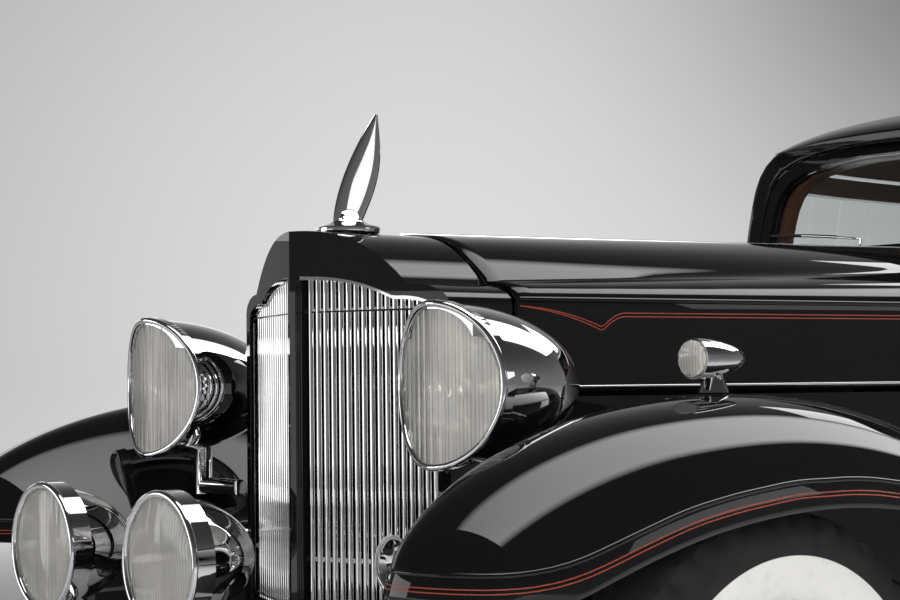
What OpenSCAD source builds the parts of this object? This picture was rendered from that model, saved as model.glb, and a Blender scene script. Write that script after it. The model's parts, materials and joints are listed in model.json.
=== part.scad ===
// Long-hood two-door coupe of the early 1930s, at full size, in millimetres.
// +X points forward, +Y to the car's left and +Z up; the ground is at Z = 0.
// Lengths along the car are measured from the front axle and shifted to the middle at the end.

/* [Chassis] */
// Distance between the front and rear axles
wheelbase = 3607; // [3560:1:3700]
// Distance between the middles of the front tyres
front_track = 1524; // [1500:1:1540]
// Distance between the middles of the rear tyres
rear_track = 1560; // [1540:1:1580]
// Underside of the frame's side rails above the ground
rail_z = 490; // [480:1:505]
// Height of the frame's side rails
rail_h = 130; // [120:1:140]
// Width of the frame's side rails
rail_w = 56; // [45:1:60]
// Middle of each side rail from the car's middle
rail_y = 372; // [360:1:380]
// Steering pivots inboard of the front tyres' middles
kingpin_set = 122; // [117:1:132]

/* [Wheels] */
// Outer radius of the tyres
tyre_r = 400; // [390:1:405]
// Width of the tyres
tyre_w = 190; // [175:1:200]
// Radius of the rims where the tyres sit
rim_r = 216; // [210:1:222]
// Width between the rims' flanges
rim_w = 124; // [115:1:130]
// Radius of the brake drums
drum_r = 165; // [150:1:172]
// Radius of the front spindles and rear axle ends
spindle_r = 22; // [18:1:26]
// Wire spokes in each of a wheel's two rows
spokes = 18; // [12:1:22]
// Radius of one wire spoke
spoke_r = 3.5; // [3:0.5:5]

/* [Radiator] */
// Nose of the grille ahead of the front axle
nose_x = 344; // [335:1:355]
// Rear edge of the radiator shell ahead of the front axle
shell_rear_x = 100; // [90:1:110]
// How far the V front falls back at the grille's outer edge
vee_set = 105; // [90:1:120]
// Half-width of the grille opening
grille_half = 290; // [284:1:294]
// Top of the grille opening in the middle
grille_top = 1194; // [1186:1:1200]
// Top of the radiator shell
shell_top = 1276; // [1270:1:1284]
// Bottom of the radiator shell
shell_low = 575; // [570:1:590]
// Painted rim round the grille, at the sides
shell_rim = 24; // [20:1:28]
// Vertical shutters in each half of the grille
shutters = 17; // [12:1:19]

/* [Lamps] */
// Half the distance between the headlamps
lamp_y = 448; // [444:1:456]
// Height of the headlamps
lamp_z = 998; // [994:1:1006]
// Radius of the headlamp rims
lamp_r = 137; // [130:1:140]
// How far the headlamp glass falls back from its ridge to its sides
lamp_vee = 44; // [34:1:48]
// Half the distance between the driving lamps
drive_y = 196; // [190:1:210]
// Height of the driving lamps
drive_z = 724; // [718:1:735]
// Radius of the driving lamp rims
drive_r = 112; // [104:1:114]

/* [Body] */
// Height of the belt line
belt_z = 1147; // [1143:1:1152]
// Lower edge of the hood's sides
hood_low = 984; // [978:1:990]
// Half-width of the body at the foot of the windshield
cowl_half = 600; // [594:1:606]
// Top of the hood at the windshield
cowl_top = 1306; // [1302:1:1312]
// Foot of the windshield behind the front axle
screen_x = 1490; // [1480:1:1500]
// Lower edge of the doors
sill_z = 560; // [555:1:570]
// Height of the roof
roof_z = 1700; // [1690:1:1715]
// Length of each door
door_len = 970; // [950:1:980]
// Thickness of fender and hood sheet
sheet_t = 5; // [4:0.5:7]
// Thickness of the doors and cabin walls
wall_t = 44; // [38:1:48]
// Gap round the doors, hood and lid
panel_gap = 9; // [8:0.5:10]
// Height of the running boards' top above the ground
board_z = 392; // [385:1:400]

/* [Ends] */
// Front face of the front bumper ahead of the front axle
front_x = 800; // [790:1:820]
// Rear face of the rear bumper behind the rear axle
rear_over = 960; // [950:1:990]

/* [Hidden] */
$fn = 48;
paint = [0.02, 0.02, 0.022];
chrome = [0.8, 0.8, 0.82];
iron = [0.12, 0.12, 0.13];
glass = [0.75, 0.82, 0.8, 0.35];
cloth = [0.32, 0.17, 0.1];
// Running clearance on pins and shafts, and clearance of pieces that rest on each other
slip = 0.05;
seat = 0.3;
big = 3000;
axle_z = tyre_r;
kingpin_y = front_track / 2 - kingpin_set;
rear_axle_x = -wheelbase;
rear_x = rear_axle_x - rear_over;
mid_x = (front_x + rear_x) / 2;
rail_top = rail_z + rail_h;
rail_front_x = 560;
rail_rear_x = rear_axle_x - 760;
floor_z = rail_top + seat;
floor_t = 12;
shell_half = grille_half + shell_rim;
hood_rear_x = 310 - screen_x;
cowl_rear_x = -screen_x - 66;
door_front_x = cowl_rear_x - panel_gap;
door_rear_x = door_front_x - door_len;
screen_rake = 9;
body_rear_x = rear_axle_x - 640;
bulkhead_x = door_rear_x - 265;
hinge_r = 6;

module car() { translate([-mid_x, 0, 0]) children(); }
module right_side() { mirror([0, 1, 0]) children(); }
module both_sides() { children(); right_side() children(); }
module along_x(p, l, r) { translate(p) rotate([0, 90, 0]) cylinder(h = l, r = r); }
module along_y(p, l, r) { translate(p) rotate([-90, 0, 0]) cylinder(h = l, r = r); }
// Extrusions of an outline drawn in front view (y, z), in side view (x, z) and in plan (x, y)
module front_view(x0, x1) { translate([x0, 0, 0]) rotate([90, 0, 90]) linear_extrude(x1 - x0) children(); }
module side_view(y0, y1) { translate([0, y1, 0]) rotate([90, 0, 0]) linear_extrude(y1 - y0) children(); }
module plan_view(z0, z1) { translate([0, 0, z0]) linear_extrude(z1 - z0) children(); }
// Round bar between two points
module rod(p, q, r) {
  d = q - p;
  l = norm(d);
  translate(p) rotate([0, acos(d.z / l), atan2(d.y, d.x)]) cylinder(h = l, r = r);
}

function mix(a, b, t) = a + (b - a) * t;
function unit(t) = min(1, max(0, t));
// Smooth curve through the rows of a table, at u rows from its start
function curve(p, q, r, s, t) = 0.5 * (2 * q + (r - p) * t + (2 * p - 5 * q + 4 * r - s) * t * t
  + (3 * q - p - 3 * r + s) * t * t * t);
function row_at(tab, u) = let (n = len(tab) - 1, i = min(floor(u), n - 1))
  curve(tab[max(i - 1, 0)], tab[i], tab[i + 1], tab[min(i + 2, n)], u - i);
function spread(tab, k) = [for (i = [0 : (len(tab) - 1) * k]) row_at(tab, i / k)];
// Value in the second column at x, where the first column falls from row to row
function look(tab, x) = let (i = max([0, for (k = [0 : len(tab) - 2]) if (x <= tab[k][0]) k]))
  row_at(tab, i + unit((tab[i][0] - x) / (tab[i][0] - tab[i + 1][0])))[1];
function steps(a, b, n) = [for (i = [0 : n]) mix(a, b, i / n)];
function mirrored(side) = concat(side, [for (i = [len(side) - 1 : -1 : 0]) [-side[i][0], side[i][1]]]);

// Closed sheet between an outer and an inner grid of points, whose rows run from front to rear
// and upwards on the left side; flip is for rows that run outwards instead
module sheet(o, n, flip = false) {
  a = len(o);
  b = len(o[0]);
  m = a * b;
  function quad(p, q, r, s) = flip ? [[p, q, r], [p, r, s]] : [[p, r, q], [p, s, r]];
  polyhedron(points = concat([for (r = o) each r], [for (r = n) each r]), convexity = 8,
    faces = concat(
      [for (i = [0 : a - 2]) for (j = [0 : b - 2])
        each quad(i * b + j, (i + 1) * b + j, (i + 1) * b + j + 1, i * b + j + 1)],
      [for (i = [0 : a - 2]) for (j = [0 : b - 2])
        each quad(m + i * b + j, m + i * b + j + 1, m + (i + 1) * b + j + 1, m + (i + 1) * b + j)],
      [for (j = [0 : b - 2]) each quad(j, j + 1, m + j + 1, m + j)],
      [for (j = [0 : b - 2]) let (e = (a - 1) * b + j) each quad(e + 1, e, m + e, m + e + 1)],
      [for (i = [0 : a - 2]) let (e = i * b) each quad(e + b, e, m + e, m + e + b)],
      [for (i = [0 : a - 2]) let (e = i * b + b - 1) each quad(e, e + b, m + e + b, m + e)]));
}

// Yoke outline shared by the shell, the grille and the hood: height from 1 in the middle to 0 at the side,
// with a cusp at a share of the half-width and a share of the height
function yoke(s, cusp_s, cusp_h) = s <= cusp_s
  ? 1 - (1 - cusp_h) * pow(s / cusp_s, 2.6)
  : cusp_h * sqrt(max(0, 1 - pow((s - cusp_s) / (1 - cusp_s), 2.2)));
shell_side_top = shell_top - 138;
grille_side_top = grille_top - 66;
shell_cusp = [0.75, 0.26];
grille_cusp = [0.705, 0.4];
function shell_outline() = mirrored(concat([[shell_half, shell_low]],
  [for (s = concat([1, 0.99, 0.96], steps(0.9, shell_cusp[0], 3), steps(0.68, 0, 12)))
    [shell_half * s, mix(shell_side_top, shell_top, yoke(s, shell_cusp[0], shell_cusp[1]))]]));
function grille_outline(inset) = let (half = grille_half - inset)
  mirrored(concat([[half, shell_low + 16 + inset]],
    [for (s = concat([1, 0.985, 0.95], steps(0.88, grille_cusp[0], 3), steps(0.62, 0, 10)))
      [half * s, mix(grille_side_top, grille_top, yoke(s, grille_cusp[0], grille_cusp[1])) - inset]]));
function vee_x(y) = nose_x - vee_set * abs(y) / grille_half;
// Slab that follows the V front in plan, from d0 behind it to d1 ahead of it
module vee_slab(d0, d1, half, z0, z1) {
  plan_view(z0, z1) polygon([[vee_x(half) + d1, half], [nose_x + d1, 0], [vee_x(half) + d1, -half],
    [vee_x(half) - d0, -half], [nose_x - d0, 0], [vee_x(half) - d0, half]]);
}

// Hood and cowl: straight taper in plan, with the yoke softened towards the windshield
function hood_t(x) = (shell_rear_x - x) / (shell_rear_x + screen_x);
function hood_half(x) = mix(shell_half + 2, cowl_half, hood_t(x));
function hood_top(x) = mix(shell_top + 2, cowl_top, hood_t(x));
function hood_rise(x, s) = mix(yoke(s, shell_cusp[0], shell_cusp[1]), pow(max(0, 1 - pow(s, 2.3)), 0.62),
  0.8 * unit(hood_t(x)));
function hood_z(x, s) = mix(belt_z, hood_top(x), hood_rise(x, s));
hood_shares = concat([1, 0.985, 0.95, 0.9, 0.83], steps(shell_cusp[0], 0.1, 11));

// Half-width of the body at the belt: x, half-width
belt_rows = [[-screen_x, cowl_half], [-screen_x - 450, 672], [-screen_x - 950, 694],
  [-screen_x - 1300, 684], [-screen_x - 1650, 645], [rear_axle_x - 20, 580],
  [rear_axle_x - 350, 490], [body_rear_x, 400]];
function belt_half(x) = x > -screen_x ? hood_half(x) : look(belt_rows, x);
// Middle line of the roof, and of the rear deck: x, height
roof_rows = [[30 - screen_x, roof_z - 98], [-screen_x - 40, roof_z - 62], [-screen_x - 250, roof_z - 16],
  [-screen_x - 600, roof_z], [-screen_x - 950, roof_z - 24], [-screen_x - 1200, roof_z - 90],
  [-screen_x - 1380, roof_z - 220], [-screen_x - 1480, roof_z - 400], [-screen_x - 1520, belt_z + 48]];
deck_rows = [[door_rear_x - panel_gap, belt_z + 46], [-screen_x - 1440, belt_z + 42],
  [-screen_x - 1800, belt_z + 8], [rear_axle_x - 60, belt_z - 95], [rear_axle_x - 330, belt_z - 250],
  [rear_axle_x - 520, belt_z - 410], [body_rear_x, sill_z + 40]];
function below_belt(z) = 1 - 0.09 * pow((belt_z - min(z, belt_z)) / (belt_z - sill_z), 2);
function lean_in(s) = (1 - 0.08 * s) * pow(max(0, 1 - pow(s, 11)), 1 / 3);
// Outer y of the body's side at a place and height
function body_y(x, z) = belt_half(x) * below_belt(z)
  * (z > belt_z ? lean_in(unit((z - belt_z) / (look(roof_rows, x) - belt_z))) : 1);

// Chassis
module frame() color(iron) difference() {
  rails();
  translate([rail_rear_x - 1, -big / 2, sill_z - seat]) cube([rear_axle_x - 390 - rail_rear_x, big, big]);
}
module rails() {
  both_sides() translate([rail_rear_x, rail_y - rail_w / 2, rail_z])
    cube([rail_front_x - rail_rear_x, rail_w, rail_h]);
  for (x = [60, -80, -760, hanger_x, rear_axle_x + 420, rail_rear_x + 40])
    translate([x - 30, -rail_y, rail_z + 30]) cube([60, 2 * rail_y, 60]);
}

module leaf_pack(half, low, high, thick) {
  n = 10;
  line = [for (t = steps(-1, 1, n)) [half * t, mix(low, high, t * t)]];
  polygon(concat(line, [for (i = [n : -1 : 0]) line[i] + [0, mix(thick, 12, pow(abs(2 * i / n - 1), 1.5))]]));
}
axle_drop = 15;
beam_h = 62;
front_spring_z = axle_z - axle_drop;
rear_tube_r = 45;
module springs() color(iron) both_sides() {
  for (s = [[0, 480, front_spring_z + seat, 34], [rear_axle_x, 620, axle_z + rear_tube_r + seat, 26]]) {
    translate([s[0], 0, 0]) side_view(rail_y - 25, rail_y + 25)
      leaf_pack(s[1], s[2], rail_z - seat - 12, s[3]);
  }
}

module front_axle() color(iron) difference() {
  union() {
    front_view(-28, 28) polygon(mirrored([[rail_y + 90, front_spring_z - beam_h],
      [kingpin_y - 90, axle_z - 38], [kingpin_y, axle_z - 38], [kingpin_y, axle_z + 38],
      [kingpin_y - 60, axle_z + 36], [rail_y + 70, front_spring_z]]));
    both_sides() translate([0, kingpin_y, axle_z - 40]) cylinder(h = 80, r = 28);
  }
  both_sides() translate([0, kingpin_y, axle_z - 50]) cylinder(h = 100, r = 16 + slip);
}

gearbox_x = -1400;
gearbox_z = 520;
shaft_r = 36;
module rear_axle() color(iron) union() {
  both_sides() along_y([rear_axle_x, 0, axle_z], rear_track / 2 - 92, rear_tube_r);
  both_sides() along_y([rear_axle_x, 0, axle_z], rear_track / 2 + 40, spindle_r);
  along_x([rear_axle_x - 110, 0, axle_z], 230, 130);
  rod([rear_axle_x, 0, axle_z], [gearbox_x - seat - shaft_r * (gearbox_z - axle_z) / (gearbox_x - rear_axle_x), 0, gearbox_z],
    shaft_r);
}

module engine() color(iron) union() {
  translate([-960, -200, rail_z + 90]) cube([990, 400, 410]);
  along_x([gearbox_x, 0, gearbox_z], 500, 84);
}

// Exhaust, under the frame on the right and over the rear axle outside the spring
hanger_x = -2500;
pipe_r = 24;
pipe_y = -380;
pipe_z = axle_z - rear_tube_r - pipe_r - 8;
muffler_r = 62;
module exhaust() color(iron) union() {
  along_x([rear_axle_x - 420, pipe_y, pipe_z], 420 - rear_axle_x - 1067, pipe_r);
  along_x([hanger_x + 50, pipe_y, pipe_z], 800, muffler_r);
  translate([hanger_x - 20, pipe_y - 6, pipe_z]) cube([40, 12, rail_z - seat - pipe_z]);
}

module fuel_tank() color(iron) translate([rear_axle_x - 330, 0, rail_z + 5])
  side_view(seat - rail_y + rail_w / 2, rail_y - rail_w / 2 - seat)
    polygon([[-30, 0], [-60, -110], [-240, -110], [-270, 0], [-250, 60], [-40, 60]]);

// Steering knuckle and brake back plate on the left
module knuckle() color(iron) union() {
  hub_y = front_track / 2;
  translate([0, kingpin_y, axle_z - 62]) cylinder(h = 124, r = 16);
  for (z = [axle_z - 62, axle_z + 40 + seat])
    translate([-24, kingpin_y - 24, z]) cube([48, hub_y - 70 - kingpin_y + 24, 22 - seat]);
  along_y([0, hub_y - 78, axle_z], 10, drum_r - 4);
  along_y([0, hub_y - 78, axle_z], 120, spindle_r);
}

// Wheel with its axis along Y and its outer face towards +Y
tyre_side = tyre_w / 2;
module wheel() color(chrome) difference() {
  flange = rim_w / 2;
  union() {
    rotate([-90, 0, 0]) rotate_extrude() polygon([[rim_r - 16, -flange], [rim_r + 14, -flange - 9],
      [rim_r + 16, -flange], [rim_r, -flange], [rim_r, flange], [rim_r + 16, flange],
      [rim_r + 14, flange + 9], [rim_r - 16, flange]]);
    rotate([-90, 0, 0]) rotate_extrude() polygon([[0, -62], [drum_r, -62], [drum_r, -22], [66, -18],
      [52, 10], [52, 58], [86, 62], [80, 78], [60, 90], [30, 97], [0, 99]]);
    for (k = [0 : spokes - 1]) for (row = [[46, 52, 14, 1], [58, -6, -10, -1]]) {
      turn = 360 * k / spokes + (row[3] > 0 ? 0 : 180 / spokes);
      lean = row[3] * (k % 2 == 0 ? 1 : -1) * 70 / spokes;
      rod([row[0] * cos(turn), row[1], row[0] * sin(turn)],
        [(rim_r - 8) * cos(turn + lean), row[2], (rim_r - 8) * sin(turn + lean)], spoke_r);
    }
  }
  along_y([0, -80, 0], 126, spindle_r + slip);
}

module tyre() color("black") rotate([-90, 0, 0]) rotate_extrude() {
  bead = rim_w / 2 - seat;
  low = rim_r + seat;
  half = [[low, bead], [rim_r + 18, bead], [rim_r + 34, tyre_side - 18], [rim_r + 60, tyre_side - 3],
    [mix(rim_r, tyre_r, 0.52), tyre_side], [mix(rim_r, tyre_r, 0.7), tyre_side - 4],
    [tyre_r - 30, tyre_side - 14], [tyre_r - 10, tyre_side - 24], [tyre_r - 3, tyre_side - 45], [tyre_r, 20]];
  polygon(concat(half, [for (i = [len(half) - 1 : -1 : 0]) [half[i][0], -half[i][1]]]));
}
module at_wheel(front, left) {
  x = front ? 0 : rear_axle_x;
  y = (front ? front_track : rear_track) / 2;
  mirror([0, left ? 0 : 1, 0]) translate([x, y, axle_z]) children();
}

// Radiator
shell_inner_x = shell_rear_x + 45;
module radiator_shell() color(paint) difference() {
  union() {
    intersection() {
      front_view(shell_rear_x, nose_x + 30) polygon(shell_outline());
      plan_view(0, big) polygon([[shell_rear_x - 1, shell_half + 9], [vee_x(shell_half + 9) + 12, shell_half + 9],
        [nose_x + 12, 0], [vee_x(shell_half + 9) + 12, -shell_half - 9], [shell_rear_x - 1, -shell_half - 9]]);
    }
  }
  difference() {
    front_view(shell_inner_x, nose_x + 60) polygon(grille_outline(0));
    translate([shell_inner_x - 1, -12, 0]) cube([nose_x, 24, big]);
  }
}

shutter_r = 6;
shutter_pitch = (grille_half - 30) / shutters;
function grille_z(y) = mix(grille_side_top, grille_top,
  yoke(y / grille_half, grille_cusp[0], grille_cusp[1]));
rail_heights = [grille_side_top + 4, shell_low + 115, shell_low + 24];
module grille() color(chrome) both_sides() intersection() {
  union() {
    for (k = [0 : shutters - 1]) {
      y = 22 + shutter_pitch * (k + 0.3);
      translate([vee_x(y) - 8, y, shell_low + 20]) {
        cylinder(h = grille_z(y) - shell_low - 24, r = shutter_r);
        translate([-26, -1.5, 0]) cube([26, 3, grille_z(y) - shell_low - 24]);
      }
    }
    for (z = rail_heights) vee_slab(16, -10, grille_half + 20, z - 4, z + 4);
    intersection() {
      vee_slab(20, 4, grille_half + 20, shell_low, grille_top);
      front_view(shell_inner_x, nose_x + 60) difference() {
        polygon(grille_outline(seat));
        polygon(grille_outline(6));
      }
    }
  }
  translate([0, 12 + seat, 0]) cube([big, grille_half - 16 - 2 * seat, big]);
}

// Plain stepped cap with a swept-back vane
cap_x = nose_x - 120;
cap_z = shell_top + seat;
module radiator_cap() color(chrome) union() {
  translate([cap_x, 0, cap_z]) rotate_extrude() polygon([[0, 0], [54, 0], [60, 6], [58, 13], [40, 18],
    [26, 26], [18, 40], [0, 46]]);
  side_view(-7, 7) polygon(concat(
    [for (t = steps(0, 1, 8)) [cap_x + 34 - 96 * pow(t, 1.6), cap_z + 20 + 206 * t]],
    [for (t = steps(1, 0, 8)) [cap_x - 30 - 40 * pow(t, 2.2) - 34 * sin(180 * t), cap_z + 20 + 206 * t]]));
}

// Headlamps
lens_x = nose_x + 45;
lamp_tail_x = lens_x - 305;
lamp_wall = 5;
function lamp_vee_x(y) = lens_x - lamp_vee * pow(abs(y) / lamp_r, 1.4);
module lamp_vee_slab(d0, d1) {
  ys = steps(-lamp_r - 6, lamp_r + 6, 14);
  plan_view(lamp_z - 200, lamp_z + 200) translate([0, lamp_y]) polygon(concat(
    [for (y = ys) [lamp_vee_x(y) + d1, y]], [for (i = [14 : -1 : 0]) [lamp_vee_x(ys[i]) - d0, ys[i]]]));
}
// Glass outline: a circle whose top narrows at two cusps
function lens_side(r) = concat([for (a = steps(-90, 36, 14)) r * [cos(a), sin(a)]],
  [for (a = steps(16, 90, 8)) [r * 0.66 * cos(a), r * (0.47 + 0.5 * sin(a))]]);
module lens_outline(r) { translate([lamp_y, lamp_z]) polygon(mirrored(lens_side(r))); }
module lamp_bowl(r) {
  l = lens_x - lamp_tail_x;
  translate([lamp_tail_x, lamp_y, lamp_z]) rotate([0, 90, 0]) rotate_extrude() polygon(concat(
    [[0, l - lamp_r + r]], [for (t = steps(1, 0, 16))
      [r * pow(max(0, 1 - pow(1 - t, 2.2)), 0.56), (lamp_r - r) * (1 - t) + t * (l - lamp_r + r)]]));
}
stem_x = lens_x - 130;
bar_z = lamp_z - 196;
module headlamp() union() {
  difference() {
    union() {
      lamp_bowl(lamp_r - 5);
      translate([stem_x, lamp_y, bar_z - 16]) cylinder(h = lamp_z - bar_z - 100, r = 18);
      along_y([stem_x, shell_half + seat, bar_z], lamp_y - shell_half, 16);
    }
    lamp_bowl(lamp_r - 5 - lamp_wall);
    lamp_vee_slab(10, 200);
  }
  intersection() {
    lamp_vee_slab(14, 3);
    front_view(lens_x - 120, lens_x + 20) difference() {
      translate([lamp_y, lamp_z]) circle(r = lamp_r);
      lens_outline(lamp_r - 10);
    }
  }
}
drive_x = front_x - 58;
post_x = drive_x - 71;
drive_l = 165;
module drive_bowl(r, l) {
  translate([drive_x - l, drive_y, drive_z]) rotate([0, 90, 0]) rotate_extrude() polygon(concat([[0, l]],
    [for (t = steps(1, 0, 12)) [r * pow(max(0, 1 - pow(1 - t, 2)), 0.5), l * t]]));
}
module driving_lamp() difference() {
  union() {
    drive_bowl(drive_r - 7, drive_l);
    along_x([drive_x - 34, drive_y, drive_z], 36, drive_r);
    translate([post_x, drive_y, tube_z + tube_r + seat])
      cylinder(h = drive_z - 70 - tube_z - tube_r, r = 13);
  }
  drive_bowl(drive_r - 12, drive_l - 7);
  along_x([drive_x - 8, drive_y, drive_z], 20, drive_r - 10);
}
// Parking lamps on the fenders' crowns
park_x = 74;
park_r = 33;
park_z = 1036;
module parking_lamp() union() {
  translate([park_x - 120, fender_y, park_z]) rotate([0, 90, 0]) rotate_extrude() polygon(concat([[0, 120]],
    [for (t = steps(1, 0, 10)) [park_r * pow(max(0, 1 - pow(1 - t, 2)), 0.55), 120 * t]]));
  translate([park_x - 46, fender_y, crown_at(park_x - 46) + seat])
    cylinder(h = park_z - crown_at(park_x - 46) - 20, r1 = 26, r2 = 13);
}
module lamp_shells() color(chrome) both_sides() { headlamp(); driving_lamp(); parking_lamp(); }
module lamp_lenses() color(glass) both_sides() {
  intersection() {
    lamp_vee_slab(6, -1);
    front_view(lens_x - 120, lens_x + 20) lens_outline(lamp_r - 10 - seat);
  }
  along_x([drive_x - 8 + seat, drive_y, drive_z], 5, drive_r - 10 - seat);
  along_x([park_x + seat, fender_y, park_z], 4, park_r - 4);
}
horn_y = 364;
horn_z = 706;
module horns() color(chrome) both_sides() {
  translate([170, horn_y, horn_z]) rotate([0, 90, 0]) rotate_extrude() polygon([[0, 0], [15, 0], [15, 90],
    [18, 150], [25, 195], [37, 222], [50, 236], [46, 236], [32, 222], [20, 195], [0, 160]]);
  along_y([190, shell_half + seat, horn_z], horn_y - shell_half, 9);
}

// Fenders: crown x, crown z, lean, outer edge y, inner drop, outer drop
fender_y = 722;
front_fender_rows = [[690, 702, 88, 905, 150, 120], [672, 762, 66, 926, 185, 150],
  [605, 834, 46, 934, 215, 168], [480, 902, 29, 937, 232, 178], [300, 955, 13, 938, 240, 180],
  [90, 979, 3, 938, 240, 178], [-100, 977, -5, 938, 236, 176], [-280, 950, -14, 938, 225, 172],
  [-470, 890, -24, 937, 200, 160], [-660, 790, -33, 936, 165, 135], [-840, 670, -35, 935, 125, 100],
  [-1010, 560, -31, 934, 85, 70], [-1160, 480, -23, 933, 55, 50], [-1290, 438, -12, 932, 36, 36]];
rear_fender_rows = [[610, 440, 48, 932, 40, 40], [545, 560, 58, 940, 80, 80], [470, 700, 52, 948, 130, 120],
  [350, 830, 38, 954, 180, 150], [180, 925, 20, 958, 215, 168], [0, 958, 2, 960, 225, 172],
  [-180, 940, -14, 960, 215, 170], [-350, 870, -31, 956, 185, 160], [-490, 760, -47, 948, 150, 140],
  [-590, 630, -61, 938, 120, 118], [-650, 500, -72, 926, 90, 92]];
function crown_at(x) = look(front_fender_rows, x);
// Inner edge of the fenders: along the hood ledge, flaring out to the nose, or along the body
function front_inner(x, z) = seat + (x < 80 ? max(hood_half(x), x < -screen_x + 300 ? body_y(x, z) : 0)
  : mix(hood_half(80), 560, pow((x - 80) / 610, 1.2)));
function rear_inner(x, z) = max(seat + body_y(x + rear_axle_x, z), z < sill_z ? rail_y + rail_w / 2 + sheet_t : 0);
// One station across a fender, d below its outer skin
function fender_line(r, d, front) = let (n = 8) [for (k = [0 : 2 * n]) let (
    t = k / n - 1,
    h = t < 0 ? -mix(d, r[4], (1 - cos(180 * t)) / 2) : -mix(d, r[5], 1 - cos(90 * t)),
    x = r[0] + h * sin(r[2]),
    z = r[1] + h * cos(r[2]),
    inner = front ? front_inner(x, z) : rear_inner(x, z))
  [x, t < 0 ? mix(fender_y, inner, -t) : mix(fender_y, r[3] - d, sin(90 * t)), z]];
module fender(rows, front) color(paint) {
  fine = spread(rows, 2);
  sheet([for (r = fine) fender_line(r, 0, front)], [for (r = fine) fender_line(r, sheet_t, front)], true);
}
module front_fender() { fender(front_fender_rows, true); }
module rear_fender() { translate([rear_axle_x, 0, 0]) fender(rear_fender_rows, false); }

board_front_x = -1270;
board_rear_x = rear_axle_x + 640;
board_t = 34;
apron_y = 550;
module running_boards() color(paint) both_sides() union() {
  translate([board_rear_x, apron_y, board_z - board_t])
    cube([board_front_x - board_rear_x, 932 - apron_y, board_t]);
  translate([board_rear_x, apron_y, board_z - board_t])
    cube([board_front_x - board_rear_x, 5, sill_z - panel_gap - board_z + board_t]);
  for (x = [-1500, -2200, -2800]) translate([x - 20, rail_y + rail_w / 2, rail_z + 5])
    cube([40, apron_y + 2 - rail_y - rail_w / 2, 40]);
}
ledge_rear_x = hood_rear_x + 4;
module ledge(x, z0, z1) {
  plan_view(z0, z1) polygon([[x, hood_half(x) - 6], [ledge_rear_x, hood_half(ledge_rear_x) - 6],
    [ledge_rear_x, hood_half(ledge_rear_x)], [x, hood_half(x)]]);
}
module hood_ledges() color(paint) both_sides() union() {
  ledge(shell_rear_x, rail_top, hood_low - panel_gap);
  ledge(-480, rail_z - 40, rail_top + 1);
}
module front_apron() color(paint) side_view(rail_w / 2 - rail_y + seat, rail_y - rail_w / 2 - seat)
  polygon(concat([for (t = steps(0, 1, 8)) [mix(210, 556, t), shell_low - seat - 70 * t * t]],
    [for (t = steps(1, 0, 8)) [mix(210, 556, t), shell_low - 5 - 70 * t * t]]));

// Hood halves, hinged on a rod along the middle
hood_front_x = shell_rear_x - panel_gap;
hood_xs = steps(hood_front_x, hood_rear_x, 10);
function hood_line(x, d) = concat(
  [for (z = steps(hood_low, belt_z, 4)) [x, hood_half(x) - d, z]],
  [for (s = hood_shares) if (s < 1) [x, max(hood_half(x) * s - d * s, hinge_r + seat), hood_z(x, s) - d]],
  [[x, hinge_r + seat, hood_z(x, 0) - d]]);
module hood_half_panel() color(paint)
  sheet([for (x = hood_xs) hood_line(x, 0)], [for (x = hood_xs) hood_line(x, sheet_t)]);

// Cowl, from the hood to the doors
cowl_t = 20;
cowl_xs = steps(hood_rear_x - panel_gap, cowl_rear_x, 3);
function cowl_half_line(x, d) = concat(
  [for (z = steps(sill_z, belt_z, 5)) [x, hood_half(x) * below_belt(z) - d, z]],
  [for (s = hood_shares) if (s < 1) [x, hood_half(x) * s - d * s, hood_z(x, s) - d]]);
function cowl_line(x, d) = let (half = cowl_half_line(x, d)) concat(half, [[x, 0, hood_top(x) - d]],
  [for (i = [len(half) - 1 : -1 : 0]) [half[i][0], -half[i][1], half[i][2]]]);
module cowl() color(paint)
  sheet([for (x = cowl_xs) cowl_line(x, 0)], [for (x = cowl_xs) cowl_line(x, cowl_t)]);
// Plate that closes the cowl's arch above a height
plate_slack = 1.2;
module cowl_plate(x, t, low) {
  line = [for (p = cowl_line(x, cowl_t + plate_slack)) if (p.z > low && abs(p.z - belt_z) > 10) [p.y, p.z]];
  foot = line[0][0] - 12;
  front_view(x - t, x) polygon(concat([[foot, low]], line, [[-foot, low]]));
}

// Windshield
frame_t = 36;
screen_rail = 28;
module raked() { translate([-screen_x, 0, cowl_top]) rotate([0, -screen_rake, 0]) translate([0, 0, -cowl_top]) children(); }
// Points up the inside of the cabin's front, from a height to the roof
function screen_side(low, inset) = let (
    top = look(roof_rows, -screen_x - 40) - wall_t - 1 - inset,
    half = belt_half(16 - screen_x) - wall_t - 1 - inset,
    s0 = (low - belt_z) / (top - belt_z))
  [for (s = concat(steps(s0, 0.72, 4), [0.8, 0.87, 0.925, 0.965, 0.99]))
    [half * lean_in(s), mix(belt_z, top, s)]];
module glass_outline(inset) { polygon(mirrored(screen_side(cowl_top + 22 + inset, screen_rail + inset))); }
module windshield_frame() color(paint) raked() difference() {
  front_view(-frame_t, 0) polygon(mirrored(concat(
    [for (s = steps(0.05, 0.9, 8)) [hood_half(-screen_x) * s, hood_z(-screen_x, s) + 7 + 8 * s * s]],
    screen_side(hood_z(-screen_x, 0.92) + 18, 0))));
  front_view(-frame_t - 1, 1) glass_outline(0);
}

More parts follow.
